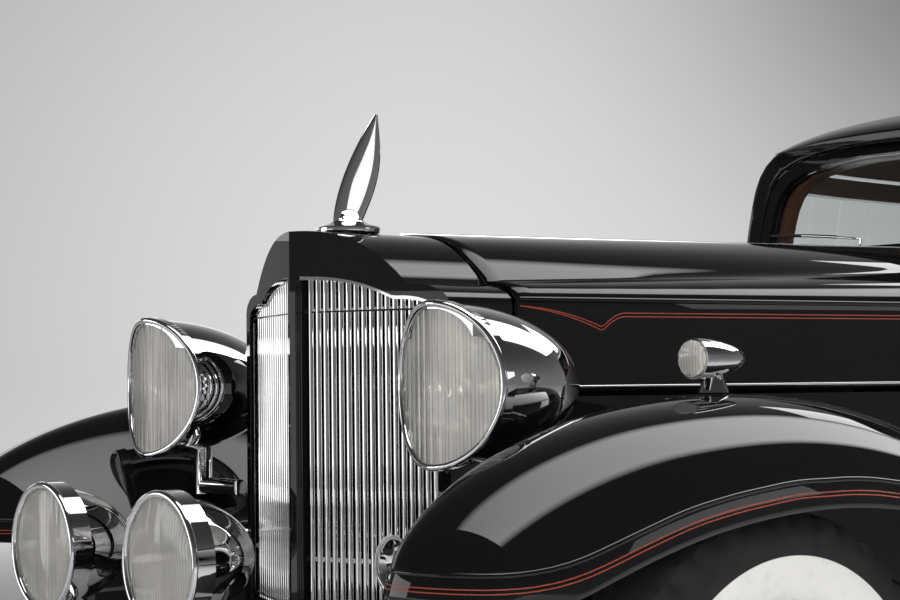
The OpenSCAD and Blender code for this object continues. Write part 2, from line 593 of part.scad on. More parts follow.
// Cabin shell: roof, rear quarters and windshield posts
cabin_rear_x = roof_rows[len(roof_rows) - 1][0];
cabin_fine = spread(roof_rows, 2);
cabin_n = 12;
function cabin_line(row, d) = let (half = [for (k = [0 : cabin_n - 1]) let (s = pow(sin(90 * k / cabin_n), 0.25))
    [row[0], belt_half(row[0]) * lean_in(s) * (1 - d / belt_half(row[0])) , mix(belt_z, row[1] - d, s)]])
  concat(half, [[row[0], 0, row[1] - d]],
    [for (i = [cabin_n - 1 : -1 : 0]) [half[i][0], -half[i][1], half[i][2]]]);
door_top_z = roof_z - 150;
post_lean = tan(screen_rake);
module door_outline(gap) {
  polygon([[door_rear_x - gap, 0], [door_front_x + gap, 0], [door_front_x + gap, belt_z],
    [door_front_x + gap - post_lean * (door_top_z - belt_z), door_top_z + gap],
    [door_rear_x - gap, door_top_z + gap]]);
}
rear_glass_z = [belt_z + 175, belt_z + 325];
module rear_window(inset) {
  half = 270 - inset;
  translate([0, (rear_glass_z[0] + rear_glass_z[1]) / 2]) polygon([for (a = steps(0, 345, 23))
    [half * sign(cos(a)) * pow(abs(cos(a)), 0.4), (75 - inset) * sign(sin(a)) * pow(abs(sin(a)), 0.5)]]);
}
module cabin_top() color(paint) difference() {
  sheet([for (r = cabin_fine) cabin_line(r, 0)], [for (r = cabin_fine) cabin_line(r, wall_t)]);
  side_view(-big, big) door_outline(panel_gap);
  side_view(-big, big) polygon([[0, 0], [post_lean * (cowl_top - belt_z) - screen_x + 4, belt_z - 40],
    [-screen_x + 4 - post_lean * (roof_z - 118 - cowl_top), roof_z - 118], [0, roof_z - 118]]);
  front_view(-big * 2, -screen_x - 900) rear_window(0);
  front_view(cowl_rear_x - seat, 0) polygon([for (p = cowl_line(cowl_rear_x, -2 * seat)) [p.y, p.z]]);
}
module fixed_glass() color(glass) {
  raked() front_view(-22, -16) glass_outline(seat);
  intersection() {
    front_view(-big * 2, -screen_x - 900) rear_window(seat);
    sheet([for (r = cabin_fine) cabin_line(r, 16)], [for (r = cabin_fine) cabin_line(r, 22)]);
  }
}

// Doors: hinged on their rear edges
door_xs = steps(0, 1, 6);
door_zs = concat(steps(sill_z, belt_z, 6), steps(belt_z + 90, door_top_z, 4));
function door_line(t, d) = [for (z = door_zs) let (
    front = door_front_x - post_lean * max(0, z - belt_z) - d * 0.36,
    x = mix(front, door_rear_x, t))
  [x, body_y(x, z) - d, z]];
module door_window(inset) {
  polygon([[door_rear_x + 70 + inset, belt_z + 34 + inset], [door_front_x - 66 - inset, belt_z + 34 + inset],
    [door_front_x - 66 - inset - post_lean * 280, door_top_z - 50 - inset],
    [door_rear_x + 110, door_top_z - 50 - inset], [door_rear_x + 70 + inset, door_top_z - 90]]);
}
// Three outside hinges on each door: the pin's bracket on the body, the barrel on the door
hinge_zs = [sill_z + 90, belt_z - 310, belt_z - 90];
hinge_x = door_rear_x - panel_gap / 2;
hinge_y = belt_half(door_rear_x) + 16;
barrel_r = 11;
barrel_h = 32;
module barrels() {
  for (z = hinge_zs) {
    translate([hinge_x, hinge_y, z]) cylinder(h = barrel_h, r = barrel_r);
    translate([hinge_x + 5, body_y(door_rear_x, z) - 12, z])
      cube([36, hinge_y - body_y(door_rear_x, z) + 12 + 5, barrel_h]);
  }
}
module pin_brackets() {
  for (z = hinge_zs) {
    translate([hinge_x, hinge_y, z - 22]) cylinder(h = 22 + barrel_h, r = hinge_r);
    translate([hinge_x, hinge_y, z - 22]) cylinder(h = 22 - seat, r = barrel_r);
    translate([hinge_x - 36, body_y(door_rear_x - 24, z) + seat, z - 22])
      cube([31, hinge_y - body_y(door_rear_x - 24, z) + 5, 22 - seat]);
  }
}
module door() color(paint) difference() {
  union() {
    sheet([for (t = door_xs) door_line(t, 0)], [for (t = door_xs) door_line(t, wall_t)]);
    barrels();
  }
  side_view(0, big) door_window(0);
  for (z = hinge_zs) translate([hinge_x, hinge_y, z - 1]) cylinder(h = barrel_h + 2, r = hinge_r + slip);
}
module door_glass() color(glass) intersection() {
  sheet([for (t = door_xs) door_line(t, 18)], [for (t = door_xs) door_line(t, 24)]);
  side_view(0, big) door_window(seat);
}
// Rods on which the hood halves, the doors and the rumble lid turn
lid_front_x = -screen_x - 1560;
lid_rear_x = rear_axle_x - 250;
// The lid turns on a rod held in two brackets behind it
lid_hinge_x = lid_rear_x - panel_gap / 2;
lid_hinge_z = look(deck_rows, lid_rear_x) + 14;
lid_slope = atan((look(deck_rows, lid_rear_x + 40) - look(deck_rows, lid_rear_x - 40)) / 80);
lid_barrel_ys = [-190, 130];
lid_barrel_l = 60;
lid_arm_inset = 4;
lid_rod_half = 230;
lid_bracket_l = 36;
lid_xs = steps(lid_front_x, lid_rear_x, 8);
module lid_barrels() {
  for (y = lid_barrel_ys) {
    along_y([lid_hinge_x, y, lid_hinge_z], lid_barrel_l, barrel_r);
    translate([lid_hinge_x, y + lid_arm_inset, lid_hinge_z]) rotate([0, -lid_slope, 0]) translate([2, 0, -21])
      cube([66, lid_barrel_l - 2 * lid_arm_inset, 23]);
  }
}
lid_seat_x = lid_rear_x - panel_gap - 2;
lid_bracket_ys = [-lid_rod_half, lid_rod_half - lid_bracket_l];
module lid_rod() {
  along_y([lid_hinge_x, -lid_rod_half, lid_hinge_z], 2 * lid_rod_half, hinge_r);
  for (y = lid_bracket_ys) {
    along_y([lid_hinge_x, y, lid_hinge_z], lid_bracket_l, barrel_r);
    translate([lid_seat_x, y, deck_z(lid_seat_x, lid_rod_half - lid_bracket_l) + seat])
      rotate([0, -lid_slope, 0]) translate([-45, 0, 0]) cube([62, lid_bracket_l, 20]);
  }
}
module hinges() color(chrome) {
  rod([shell_rear_x - slip * 4, 0, hood_top(shell_rear_x)], [hood_rear_x - panel_gap + slip * 4, 0, hood_top(hood_rear_x)],
    hinge_r);
  lid_rod();
  both_sides() pin_brackets();
}

// Rear body: quarters, shelf and deck
body_t = 26;
function round_share(x) = unit((deck_rows[1][0] - x) / (deck_rows[1][0] - body_rear_x));
rear_xs = concat(steps(door_rear_x - panel_gap, bulkhead_x, 3), steps(lid_front_x + 60, lid_seat_x, 8),
  steps(lid_seat_x - 80, body_rear_x, 4));
function shoulder_z(x) = mix(belt_z, mix(sill_z, look(deck_rows, x), 0.72), unit(1.6 * round_share(x)));
function deck_edge(x) = body_y(x, shoulder_z(x));
function deck_z(x, y) = let (deck = look(deck_rows, x))
  deck - (deck - shoulder_z(x)) * pow(abs(y) / deck_edge(x), 3);
function rear_half_line(x, d) = concat(
  [for (t = steps(0, 1, 5)) let (z = mix(sill_z, shoulder_z(x) - d, t)) [x, body_y(x, z) - d, z]],
  [for (f = [0.94, 0.86, 0.74, 0.58, 0.4, 0.2]) let (edge = deck_edge(x)) [x, (edge - d) * f, deck_z(x, edge * f) - d]]);
function rear_line(x, d) = let (half = rear_half_line(x, d)) concat(half, [[x, 0, look(deck_rows, x) - d]],
  [for (i = [len(half) - 1 : -1 : 0]) [half[i][0], -half[i][1], half[i][2]]]);
module rear_skin() {
  sheet([for (x = rear_xs) rear_line(x, 0)], [for (x = rear_xs) rear_line(x, body_t)]);
}
// Half-width of the rumble lid
function lid_half(x) = mix(400, 330, (lid_front_x - x) / (lid_front_x - lid_rear_x));
module lid_outline(gap) {
  polygon([[lid_front_x + gap, lid_half(lid_front_x) + gap], [lid_front_x + gap, -lid_half(lid_front_x) - gap],
    [lid_rear_x - gap, -lid_half(lid_rear_x) - gap], [lid_rear_x - gap, lid_half(lid_rear_x) + gap]]);
}
function lid_line(x, d) = [for (f = steps(1, -1, 10)) [x, lid_half(x) * f, deck_z(x, lid_half(x) * f) - d]];
module rear_body() color(paint) difference() {
  rear_skin();
  translate([cabin_rear_x - seat, -big / 2, belt_z - seat]) cube([big, big, big]);
  plan_view(sill_z + 120, big) lid_outline(panel_gap);
}
module rumble_lid() color(paint) difference() {
  union() {
    sheet([for (x = lid_xs) lid_line(x, 0)], [for (x = lid_xs) lid_line(x, body_t)]);
    lid_barrels();
  }
  for (y = lid_barrel_ys) along_y([lid_hinge_x, y - 1, lid_hinge_z], lid_barrel_l + 2, hinge_r + slip);
}

// Inside
module floor() color(iron) union() {
  xs = concat([hood_rear_x - 20], steps(-screen_x, bulkhead_x, 3), steps(bulkhead_x - 200, rear_axle_x - 480, 4));
  plan_view(floor_z, floor_z + floor_t) polygon(concat([for (x = xs) [x, body_y(x, floor_z) - wall_t - 8]],
    [for (i = [len(xs) - 1 : -1 : 0]) [xs[i], 8 + wall_t - body_y(xs[i], floor_z)]]));
  translate([bulkhead_x, -570, floor_z]) cube([12, 1140, belt_z - floor_z - 40]);
}
column_y = 330;
wheel_c = [-1900, column_y, 1128];
column_low = [hood_rear_x - 14, column_y, 770];
column_lean = atan2(wheel_c.x - column_low.x, wheel_c.z - column_low.z);
module firewall() color(iron) union() {
  cowl_plate(hood_rear_x - panel_gap - 4, 8, floor_z + floor_t + seat);
  rod(column_low, wheel_c, 14);
}
module dashboard() color([0.3, 0.16, 0.08]) cowl_plate(-screen_x - 20, 30, belt_z - 60);
module steering_wheel() color("black") translate(wheel_c) rotate([0, column_lean, 0]) difference() {
  union() {
    rotate_extrude() translate([205, 0]) circle(r = 13);
    translate([0, 0, -30]) cylinder(h = 44, r = 28);
    for (a = [45 : 90 : 315]) rotate([0, 90, a]) cylinder(h = 200, r = 8);
  }
  translate([0, 0, -60]) cylinder(h = 60 + seat, r = 14 + slip);
}
// Cushions: the bench's back stands behind the doors, the rumble seat under its lid
seat_half = 498;
seat_x = door_rear_x - 25;
seat_z = floor_z + floor_t + seat;
rumble_half = 370;
rumble_x = -screen_x - 1620;
module seat_cushion() color(cloth) side_view(-seat_half, seat_half) polygon([[seat_x + 500, seat_z],
  [seat_x + 520, 790], [seat_x + 490, 850], [seat_x + 430, 862], [seat_x + 30, 835], [seat_x, seat_z]]);
module seat_back() color(cloth) side_view(-seat_half, seat_half) polygon([[seat_x - 1, seat_z], [seat_x - 1, 845],
  [seat_x - 100, 1330], [seat_x - 140, 1345], [seat_x - 175, 1320], [seat_x - 130, 850], [seat_x - 130, seat_z]]);
module rumble_cushion() color(cloth) side_view(-rumble_half, rumble_half) polygon([[rumble_x - 10, seat_z],
  [rumble_x, 760], [rumble_x - 30, 790], [rumble_x - 370, 770], [rumble_x - 390, seat_z]]);

// Bumpers
bumper_z = 505;
bumper_h = 84;
module bumper_bar(bow) {
  ys = steps(-850, 850, 24);
  plan_view(bumper_z - bumper_h / 2, bumper_z + bumper_h / 2) polygon(concat(
    [for (y = ys) [-bow * pow(abs(y) / 850, 2.4), y]],
    [for (i = [24 : -1 : 0]) [-12 - bow * pow(abs(ys[i]) / 850, 2.4), ys[i]]]));
}
// Cross tube that carries the driving lamps
tube_r = 15;
tube_z = bumper_z + 24;
module front_bumper() color(chrome) union() {
  translate([front_x, 0, 0]) bumper_bar(90);
  along_y([post_x, -rail_y, tube_z], 2 * rail_y, tube_r);
  both_sides() translate([rail_front_x, rail_y - 20, bumper_z - 14])
    cube([front_x - rail_front_x - 12, 40, 28]);
}
module rear_bumper() color(chrome) union() {
  translate([rear_x, 0, 0]) mirror([1, 0, 0]) bumper_bar(80);
  both_sides() translate([rear_x + 12, rail_y - 20, bumper_z - 14])
    cube([rail_rear_x - rear_x - 12, 40, 28]);
}
tail_x = rear_axle_x - 300;
module tail_lamps() color(chrome) both_sides() union() {
  translate([tail_x, fender_y, look(rear_fender_rows, tail_x - rear_axle_x + 14) - seat]) cylinder(h = 66, r = 12);
  along_x([tail_x - 40, fender_y, 958], 80, 36);
}

car() frame();
car() front_axle();
car() rear_axle();
car() springs();
car() engine();
car() exhaust();
car() fuel_tank();
car() knuckle();  // knuckle_left
car() right_side() knuckle();  // knuckle_right
car() at_wheel(true, true) wheel();  // wheel_front_left
car() at_wheel(true, false) wheel();  // wheel_front_right
car() at_wheel(false, true) wheel();  // wheel_rear_left
car() at_wheel(false, false) wheel();  // wheel_rear_right
car() at_wheel(true, true) tyre();  // tyre_front_left
car() at_wheel(true, false) tyre();  // tyre_front_right
car() at_wheel(false, true) tyre();  // tyre_rear_left
car() at_wheel(false, false) tyre();  // tyre_rear_right
car() radiator_shell();
car() grille();
car() radiator_cap();
car() lamp_shells();
car() lamp_lenses();
car() horns();
car() front_fender();  // front_fender_left
car() right_side() front_fender();  // front_fender_right
car() rear_fender();  // rear_fender_left
car() right_side() rear_fender();  // rear_fender_right
car() running_boards();
car() hood_ledges();
car() front_apron();
car() hinges();
car() hood_half_panel();  // hood_left
car() right_side() hood_half_panel();  // hood_right
car() cowl();
car() windshield_frame();
car() fixed_glass();
car() door();  // door_left
car() right_side() door();  // door_right
car() door_glass();  // door_glass_left
car() right_side() door_glass();  // door_glass_right
car() cabin_top();
car() rear_body();
car() rumble_lid();
car() floor();
car() firewall();
car() dashboard();
car() steering_wheel();
car() seat_cushion();
car() seat_back();
car() rumble_cushion();
car() front_bumper();
car() rear_bumper();
car() tail_lamps();
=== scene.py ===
import json
import math

import bmesh
import bpy
from mathutils import Matrix, Vector
from mathutils.bvhtree import BVHTree

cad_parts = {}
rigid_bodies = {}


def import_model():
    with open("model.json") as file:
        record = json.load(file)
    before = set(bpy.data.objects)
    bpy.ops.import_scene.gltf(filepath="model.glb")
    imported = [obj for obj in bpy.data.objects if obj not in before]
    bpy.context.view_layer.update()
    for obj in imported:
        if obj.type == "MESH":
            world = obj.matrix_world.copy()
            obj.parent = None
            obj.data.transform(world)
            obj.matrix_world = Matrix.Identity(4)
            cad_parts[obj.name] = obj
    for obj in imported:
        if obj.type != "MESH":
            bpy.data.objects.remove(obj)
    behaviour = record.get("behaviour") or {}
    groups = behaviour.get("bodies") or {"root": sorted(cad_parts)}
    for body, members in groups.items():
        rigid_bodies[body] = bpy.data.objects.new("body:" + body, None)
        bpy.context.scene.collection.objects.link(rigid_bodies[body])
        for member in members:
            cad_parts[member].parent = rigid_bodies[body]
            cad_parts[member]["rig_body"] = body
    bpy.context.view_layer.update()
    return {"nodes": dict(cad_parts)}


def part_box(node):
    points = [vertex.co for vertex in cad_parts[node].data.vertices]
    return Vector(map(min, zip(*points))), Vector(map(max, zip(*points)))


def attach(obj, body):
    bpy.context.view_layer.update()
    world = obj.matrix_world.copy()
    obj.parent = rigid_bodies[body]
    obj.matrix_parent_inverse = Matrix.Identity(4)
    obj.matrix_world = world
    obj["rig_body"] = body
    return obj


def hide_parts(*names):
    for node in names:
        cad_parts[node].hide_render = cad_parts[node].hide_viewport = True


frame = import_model()
nodes = frame["nodes"]
sides = ((1, "left"), (-1, "right"))
farOut, farAhead = 2.0, 3.5  # rays start here, beside and ahead of the car
print("frame loaded:", len(nodes), "nodes")


# Materials

class Wire:
    # one output socket; arithmetic on it adds Math nodes
    def __init__(self, tree, socket=None):
        self.tree = tree
        self.socket = socket

    def add(self, kind, out, settings=None, values=None):
        node = self.tree.nodes.new(kind)
        for key, value in (settings or {}).items():
            setattr(node, key, value)
        for key, value in (values or {}).items():
            plug(self.tree, node.inputs[key], value)
        return Wire(self.tree, node.outputs[out])

    def calc(self, operation, *values):
        return self.add("ShaderNodeMath", 0, {"operation": operation}, dict(enumerate(values)))

    def __add__(self, other):
        return self.calc("ADD", self, other)

    def __sub__(self, other):
        return self.calc("SUBTRACT", self, other)

    def __rsub__(self, other):
        return self.calc("SUBTRACT", other, self)

    def __mul__(self, other):
        return self.calc("MULTIPLY", self, other)

    def __truediv__(self, other):
        return self.calc("DIVIDE", self, other)

    __radd__ = __add__
    __rmul__ = __mul__

    def clamp(self, low, high):
        # 0 below low, 1 above high
        return self.add("ShaderNodeMapRange", 0, {}, {0: self, 1: low, 2: high, 3: 0.0, 4: 1.0})


def plug(tree, socket, value):
    if isinstance(value, Wire):
        tree.links.new(value.socket, socket)
    elif hasattr(value, "__len__") and len(value) == 3 and len(socket.default_value) == 4:
        socket.default_value = (*value, 1)
    else:
        socket.default_value = value


def feed(mat, **sockets):
    # values or wires into the material's shader, by the sockets' names
    shader = mat.node_tree.nodes["Principled BSDF"]
    for key, value in sockets.items():
        plug(mat.node_tree, shader.inputs[key.replace("_", " ")], value)
    return mat


def newMaterial(name, **sockets):
    mat = bpy.data.materials.new(name)
    mat.use_nodes = True
    feed(mat, **sockets)
    wire = Wire(mat.node_tree)
    return mat, wire, wire.add("ShaderNodeTexCoord", "Object")


def noise(wire, place, scale, detail=3.0, rough=0.5):
    return wire.add("ShaderNodeTexNoise", "Fac", {}, {"Vector": place, "Scale": scale, "Detail": detail,
                                                      "Roughness": rough})


def tint(wire, mask, low, high):
    return wire.add("ShaderNodeMix", 2, {"data_type": "RGBA"}, {0: mask, 6: low, 7: high})


def bump(wire, height, strength, distance):
    return wire.add("ShaderNodeBump", "Normal", {}, {"Height": height, "Strength": strength,
                                                     "Distance": distance})


def shaded(colour, times, lift=0.0):
    return [c * times + lift for c in colour]


def glossPaint(name, colour):
    mat, wire, place = newMaterial(name, Coat_Weight=1.0, Coat_Roughness=0.012, Specular_IOR_Level=0.0)
    cloud = noise(wire, place, 3.0, 4.0)
    fine = noise(wire, place, 260.0, 2.0)
    return feed(mat, Base_Color=tint(wire, cloud, colour, shaded(colour, 1.6, 0.001)),
                Roughness=0.06 + 0.02 * cloud, Normal=bump(wire, fine, 0.012, 0.0004))


def polished(name, colour, rough):
    mat, wire, place = newMaterial(name, Metallic=1.0)
    haze = noise(wire, place, 9.0, 5.0)
    return feed(mat, Base_Color=tint(wire, haze, colour, shaded(colour, 0.93)),
                Roughness=rough + 0.03 * haze.clamp(0.45, 0.9))


def dullMetal(name, colour, rough):
    mat, wire, place = newMaterial(name, Metallic=0.2)
    patch = noise(wire, place, 6.0, 5.0)
    grit = noise(wire, place, 180.0, 3.0)
    return feed(mat, Base_Color=tint(wire, patch, colour, shaded(colour, 1.7, 0.004)),
                Roughness=rough + 0.2 * patch, Normal=bump(wire, grit, 0.15, 0.001))


def clearGlass(name, colour, rough=0.0):
    mat, wire, place = newMaterial(name, Transmission_Weight=1.0, IOR=1.45)
    film = noise(wire, place, 4.0, 4.0)
    return feed(mat, Base_Color=tint(wire, film, colour, shaded(colour, 0.96)), Roughness=rough + 0.015 * film)


# Flutes of the lamps' lenses, shared by the glass and the shape
fluting = {"pitch": 0.0068, "proud": 0.0012, "front": 0.4}


def moulded(name, colour):
    # pressed lens glass: milky, with a painted line of shade in each flute
    mat, wire, place = newMaterial(name, Transmission_Weight=0.60, IOR=1.45)
    across = wire.add("ShaderNodeSeparateXYZ", "Y", {}, {"Vector": place})
    flute = wire.calc("FRACT", across / fluting["pitch"])
    # painted shade: the glass darkens along the edges of each flute
    line = wire.calc("ABSOLUTE", flute - 0.5).clamp(0.28, 0.5)
    cloud = noise(wire, place, 11.0, 3.0)
    # darkening from the painted flute shade plus random cloudiness
    shade = line * 0.75 + cloud.clamp(0.4, 0.75) * 0.35
    return feed(mat, Base_Color=tint(wire, shade, colour, shaded(colour, 0.42)), Roughness=0.08 + 0.05 * cloud)


def clothMaterial(name, colour):
    mat, wire, place = newMaterial(name, Sheen_Weight=0.3, Specular_IOR_Level=0.2)
    warp, weft = [wire.add("ShaderNodeTexWave", "Fac", {"bands_direction": way}, {"Vector": place, "Scale": 260.0})
                  for way in "YZ"]
    weave = warp * 0.5 + weft * 0.5
    patch = noise(wire, place, 14.0, 4.0)
    mix = weave * 0.6 + patch * 0.4
    return feed(mat, Base_Color=tint(wire, mix, shaded(colour, 0.7), shaded(colour, 1.25)),
                Roughness=0.8 + 0.15 * patch, Normal=bump(wire, weave, 0.3, 0.001))


def leatherMaterial(name, colour):
    mat, wire, place = newMaterial(name, Specular_IOR_Level=0.4)
    grain = wire.add("ShaderNodeTexVoronoi", "Distance", {}, {"Vector": place, "Scale": 240.0})
    patch = noise(wire, place, 10.0, 4.0)
    return feed(mat, Base_Color=tint(wire, patch, shaded(colour, 0.75), shaded(colour, 1.2)),
                Roughness=0.42 + 0.2 * patch, Normal=bump(wire, grain, 0.25, 0.001))


def woodMaterial(name, pale, dark):
    mat, wire, place = newMaterial(name, Coat_Weight=0.8, Coat_Roughness=0.05)
    stretched = wire.add("ShaderNodeMapping", 0, {}, {"Vector": place, "Scale": (6.0, 1.2, 6.0)})
    ring = noise(wire, stretched, 9.0, 8.0, 0.65)
    fibre = noise(wire, stretched, 70.0, 4.0)
    return feed(mat, Base_Color=tint(wire, ring.clamp(0.3, 0.7), dark, pale), Roughness=0.3 + 0.15 * fibre,
                Normal=bump(wire, fibre, 0.06, 0.0005))


def rubberMaterial(name, colour, rough):
    mat, wire, place = newMaterial(name, Specular_IOR_Level=0.35)
    patch = noise(wire, place, 20.0, 5.0)
    return feed(mat, Base_Color=tint(wire, patch, colour, shaded(colour, 1.8, 0.006)),
                Roughness=rough + 0.2 * patch, Normal=bump(wire, patch, 0.08, 0.001))


# Rubber with a white band; each tyre has its own, because the band is centred on its axle
whiteBand = {"inner": 0.243, "outer": 0.326, "edge": 0.0015, "wall": (0.02, 0.03),
             "white": (0.78, 0.77, 0.73), "black": (0.012, 0.012, 0.012), "dusty": (0.03, 0.03, 0.03)}


def tyreMaterial(name, hub):
    mat, wire, place = newMaterial(name, Specular_IOR_Level=0.35)
    x, y, z = [wire.add("ShaderNodeSeparateXYZ", axis, {}, {"Vector": place}) for axis in "XYZ"]
    dx, dz = x - hub.x, z - hub.z
    away = wire.calc("SQRT", dx * dx + dz * dz)
    outside = (y * math.copysign(1, hub.y)).clamp(*[abs(hub.y) + w for w in whiteBand["wall"]])
    inner, outer, edge = whiteBand["inner"], whiteBand["outer"], whiteBand["edge"]
    band = away.clamp(inner - edge, inner) * (1 - away.clamp(outer, outer + edge)) * outside
    scuff = noise(wire, place, 30.0, 5.0)
    white = tint(wire, scuff.clamp(0.55, 0.9), whiteBand["white"], shaded(whiteBand["white"], 0.82))
    black = tint(wire, scuff, whiteBand["black"], whiteBand["dusty"])
    return feed(mat, Base_Color=tint(wire, band, black, white), Roughness=0.55 + 0.25 * scuff,
                Normal=bump(wire, scuff, 0.06, 0.001))


finish = {
    "body": glossPaint("bodyBlack", (0.0035, 0.0035, 0.004)),
    "wheel": glossPaint("wheelBlack", (0.006, 0.006, 0.0065)),
    "stripe": glossPaint("stripeRed", (0.23, 0.037, 0.017)),
    "chassis": dullMetal("chassisBlack", (0.012, 0.012, 0.013), 0.45),
    "iron": dullMetal("engineGrey", (0.09, 0.11, 0.11), 0.5),
    "chrome": polished("brightChrome", (0.86, 0.86, 0.87), 0.03),
    "glass": clearGlass("windowGlass", (0.93, 0.96, 0.95)),
    "lens": moulded("lensGlass", (0.96, 0.94, 0.88)),
    "bulb": clearGlass("bulbGlass", (0.95, 0.95, 0.93), 0.02),
    "cloth": clothMaterial("seatCloth", (0.24, 0.16, 0.1)),
    "leather": leatherMaterial("rumbleLeather", (0.12, 0.05, 0.025)),
    "wood": woodMaterial("garnishWood", (0.22, 0.075, 0.025), (0.09, 0.028, 0.01)),
    "rubber": rubberMaterial("blackRubber", (0.01, 0.01, 0.01), 0.5),
    "redGlass": clearGlass("tailGlass", (0.6, 0.02, 0.01), 0.1),
    "dial": rubberMaterial("dialCream", (0.55, 0.5, 0.38), 0.4),
}
print("materials made:", len(finish))


# Pieces

def addPiece(name, bm, material, body, replaced=(), smoothAngle=None):
    mesh = bpy.data.meshes.new(name)
    bm.to_mesh(mesh)
    bm.free()
    mesh.materials.append(material)
    piece = bpy.data.objects.new(name, mesh)
    bpy.context.scene.collection.objects.link(piece)
    if smoothAngle is not None:
        mesh.shade_smooth()
        mesh.set_sharp_from_angle(angle=math.radians(smoothAngle))
    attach(piece, body)
    if replaced:
        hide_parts(*replaced)
    return piece


def bodyOf(name):
    return nodes[name]["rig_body"]


merging = {"gap": 1e-5, "seam": 1e-6, "faces": 25.0, "shape": 50.0, "flat": 0.6}


def mergedCopy(name):
    bm = bmesh.new()
    bm.from_mesh(nodes[name].data)
    bmesh.ops.remove_doubles(bm, verts=bm.verts[:], dist=merging["gap"])
    return bm


def nodeCopy(name):
    # merged copy of a CAD node's mesh, as quads where its triangles pair up
    bm = mergedCopy(name)
    bmesh.ops.join_triangles(bm, faces=bm.faces[:], angle_face_threshold=math.radians(merging["faces"]),
                             angle_shape_threshold=math.radians(merging["shape"]))
    return bm


def subdivide(piece, levels):
    mod = piece.modifiers.new("rounding", "SUBSURF")
    mod.levels = levels
    mod.render_levels = levels
    return piece


def treeOf(piece):
    return BVHTree.FromObject(piece, bpy.context.evaluated_depsgraph_get())


def finalMesh(piece):
    return bpy.data.meshes.new_from_object(piece.evaluated_get(bpy.context.evaluated_depsgraph_get()))


def spread(first, last, count):
    return [first + (last - first) * k / (count - 1) for k in range(count)]


def everything(bm):
    return bm.verts[:] + bm.edges[:] + bm.faces[:]


def spinLine(bm, places, centre, axis, steps, closed=False):
    line = [bm.verts.new(place) for place in places]
    edges = [bm.edges.new(pair) for pair in zip(line, line[1:] + line[:1] if closed else line[1:])]
    bmesh.ops.spin(bm, geom=line + edges, cent=centre, axis=axis, angle=2 * math.pi, steps=steps, use_merge=True)


def closeUp(bm):
    bmesh.ops.remove_doubles(bm, verts=bm.verts[:], dist=merging["seam"])
    bmesh.ops.recalc_face_normals(bm, faces=bm.faces[:])


def faceAlong(bm, way):
    # an open shell whose faces mostly point against way is turned over
    if sum(f.normal.dot(way) * f.calc_area() for f in bm.faces) < 0:
        bmesh.ops.reverse_faces(bm, faces=bm.faces[:])


def roundEdges(bm, edges, offset, segments):
    bmesh.ops.bevel(bm, geom=edges, offset=offset, segments=segments, profile=0.5, affect="EDGES", material=-1)


def sharpEdges(bm, angle=1.0):
    return [e for e in bm.edges if e.calc_face_angle(0) > angle]


def tubeAlong(name, points, radius, material, body, closed=False):
    curve = bpy.data.curves.new(name, "CURVE")
    curve.dimensions = "3D"
    curve.bevel_depth = radius
    curve.bevel_resolution = 2
    curve.use_fill_caps = True
    spline = curve.splines.new("POLY")
    spline.points.add(len(points) - 1)
    spline.use_cyclic_u = closed
    for point, place in zip(spline.points, points):
        point.co = (*place, 1)
    holder = bpy.data.objects.new(name + "_path", curve)
    bpy.context.scene.collection.objects.link(holder)
    mesh = finalMesh(holder)
    bpy.data.objects.remove(holder)
    bpy.data.curves.remove(curve)
    bm = bmesh.new()
    bm.from_mesh(mesh)
    bpy.data.meshes.remove(mesh)
    bmesh.ops.recalc_face_normals(bm, faces=bm.faces[:])
    addPiece(name, bm, material, body, smoothAngle=50)


def sideLine(tree, xs, height, side, sink):
    # points on a panel's outer side at the given heights, moved in by sink
    points = []
    for x in xs:
        spot, normal, _, _ = tree.ray_cast(Vector((x, side * farOut, height(x))), Vector((0, -side, 0)), farOut)
        if spot:
            points.append(spot - normal * sink)
    return points


# Lofted sheets are rounded by subdivision, with their real edges kept
panels = {"levels": 2, "crease": 32.0,
          "nodes": ["front_fender_left", "front_fender_right", "rear_fender_left", "rear_fender_right",
                    "hood_left", "hood_right", "cowl", "rear_body", "cabin_top"]}


def smoothPanel(name):
    bm = nodeCopy(name)
    crease = bm.edges.layers.float.new("crease_edge")
    for edge in bm.edges:
        if len(edge.link_faces) != 2 or edge.calc_face_angle(0) > math.radians(panels["crease"]):
            edge[crease] = 1.0
    piece = addPiece(name + "_skin", bm, finish["body"], bodyOf(name), [name])
    piece.data.shade_smooth()
    return subdivide(piece, panels["levels"])


skins = {name: smoothPanel(name) for name in panels["nodes"]}
print("panels rounded:", len(skins))


# Plain-sided CAD nodes stay as they are; rounded ones get a merged copy with smooth shading
flatNodes = {
    "chassis": ["frame", "floor", "fuel_tank"],
    "glass": ["fixed_glass", "door_glass_left", "door_glass_right"],
    "wood": ["dashboard"],
}
roundNodes = {
    "body": ["radiator_shell", "running_boards", "hood_ledges", "front_apron", "windshield_frame",
             "door_left", "door_right", "rumble_lid"],
    "chassis": ["front_axle", "rear_axle", "springs", "exhaust", "knuckle_left", "knuckle_right", "firewall"],
    "iron": ["engine"],
    "wheel": ["wheel_front_left", "wheel_front_right", "wheel_rear_left", "wheel_rear_right"],
    "chrome": ["grille", "lamp_shells", "horns", "hinges", "front_bumper", "rear_bumper", "tail_lamps"],
    "rubber": ["steering_wheel"],
}
smoothing = {"angle": 34.0, "radiator_shell": 24.0, "lamp_shells": 28.0, "windshield_frame": 24.0,
             "grille": 40.0}


def smoothCopy(name, look):
    bm = mergedCopy(name)
    bmesh.ops.dissolve_limit(bm, angle_limit=math.radians(merging["flat"]), verts=bm.verts[:], edges=bm.edges[:])
    piece = addPiece(name + "_finish", bm, finish[look], bodyOf(name), [name],
                     smoothing.get(name, smoothing["angle"]))
    weighted = piece.modifiers.new("evenShade", "WEIGHTED_NORMAL")
    weighted.keep_sharp = True
    return piece


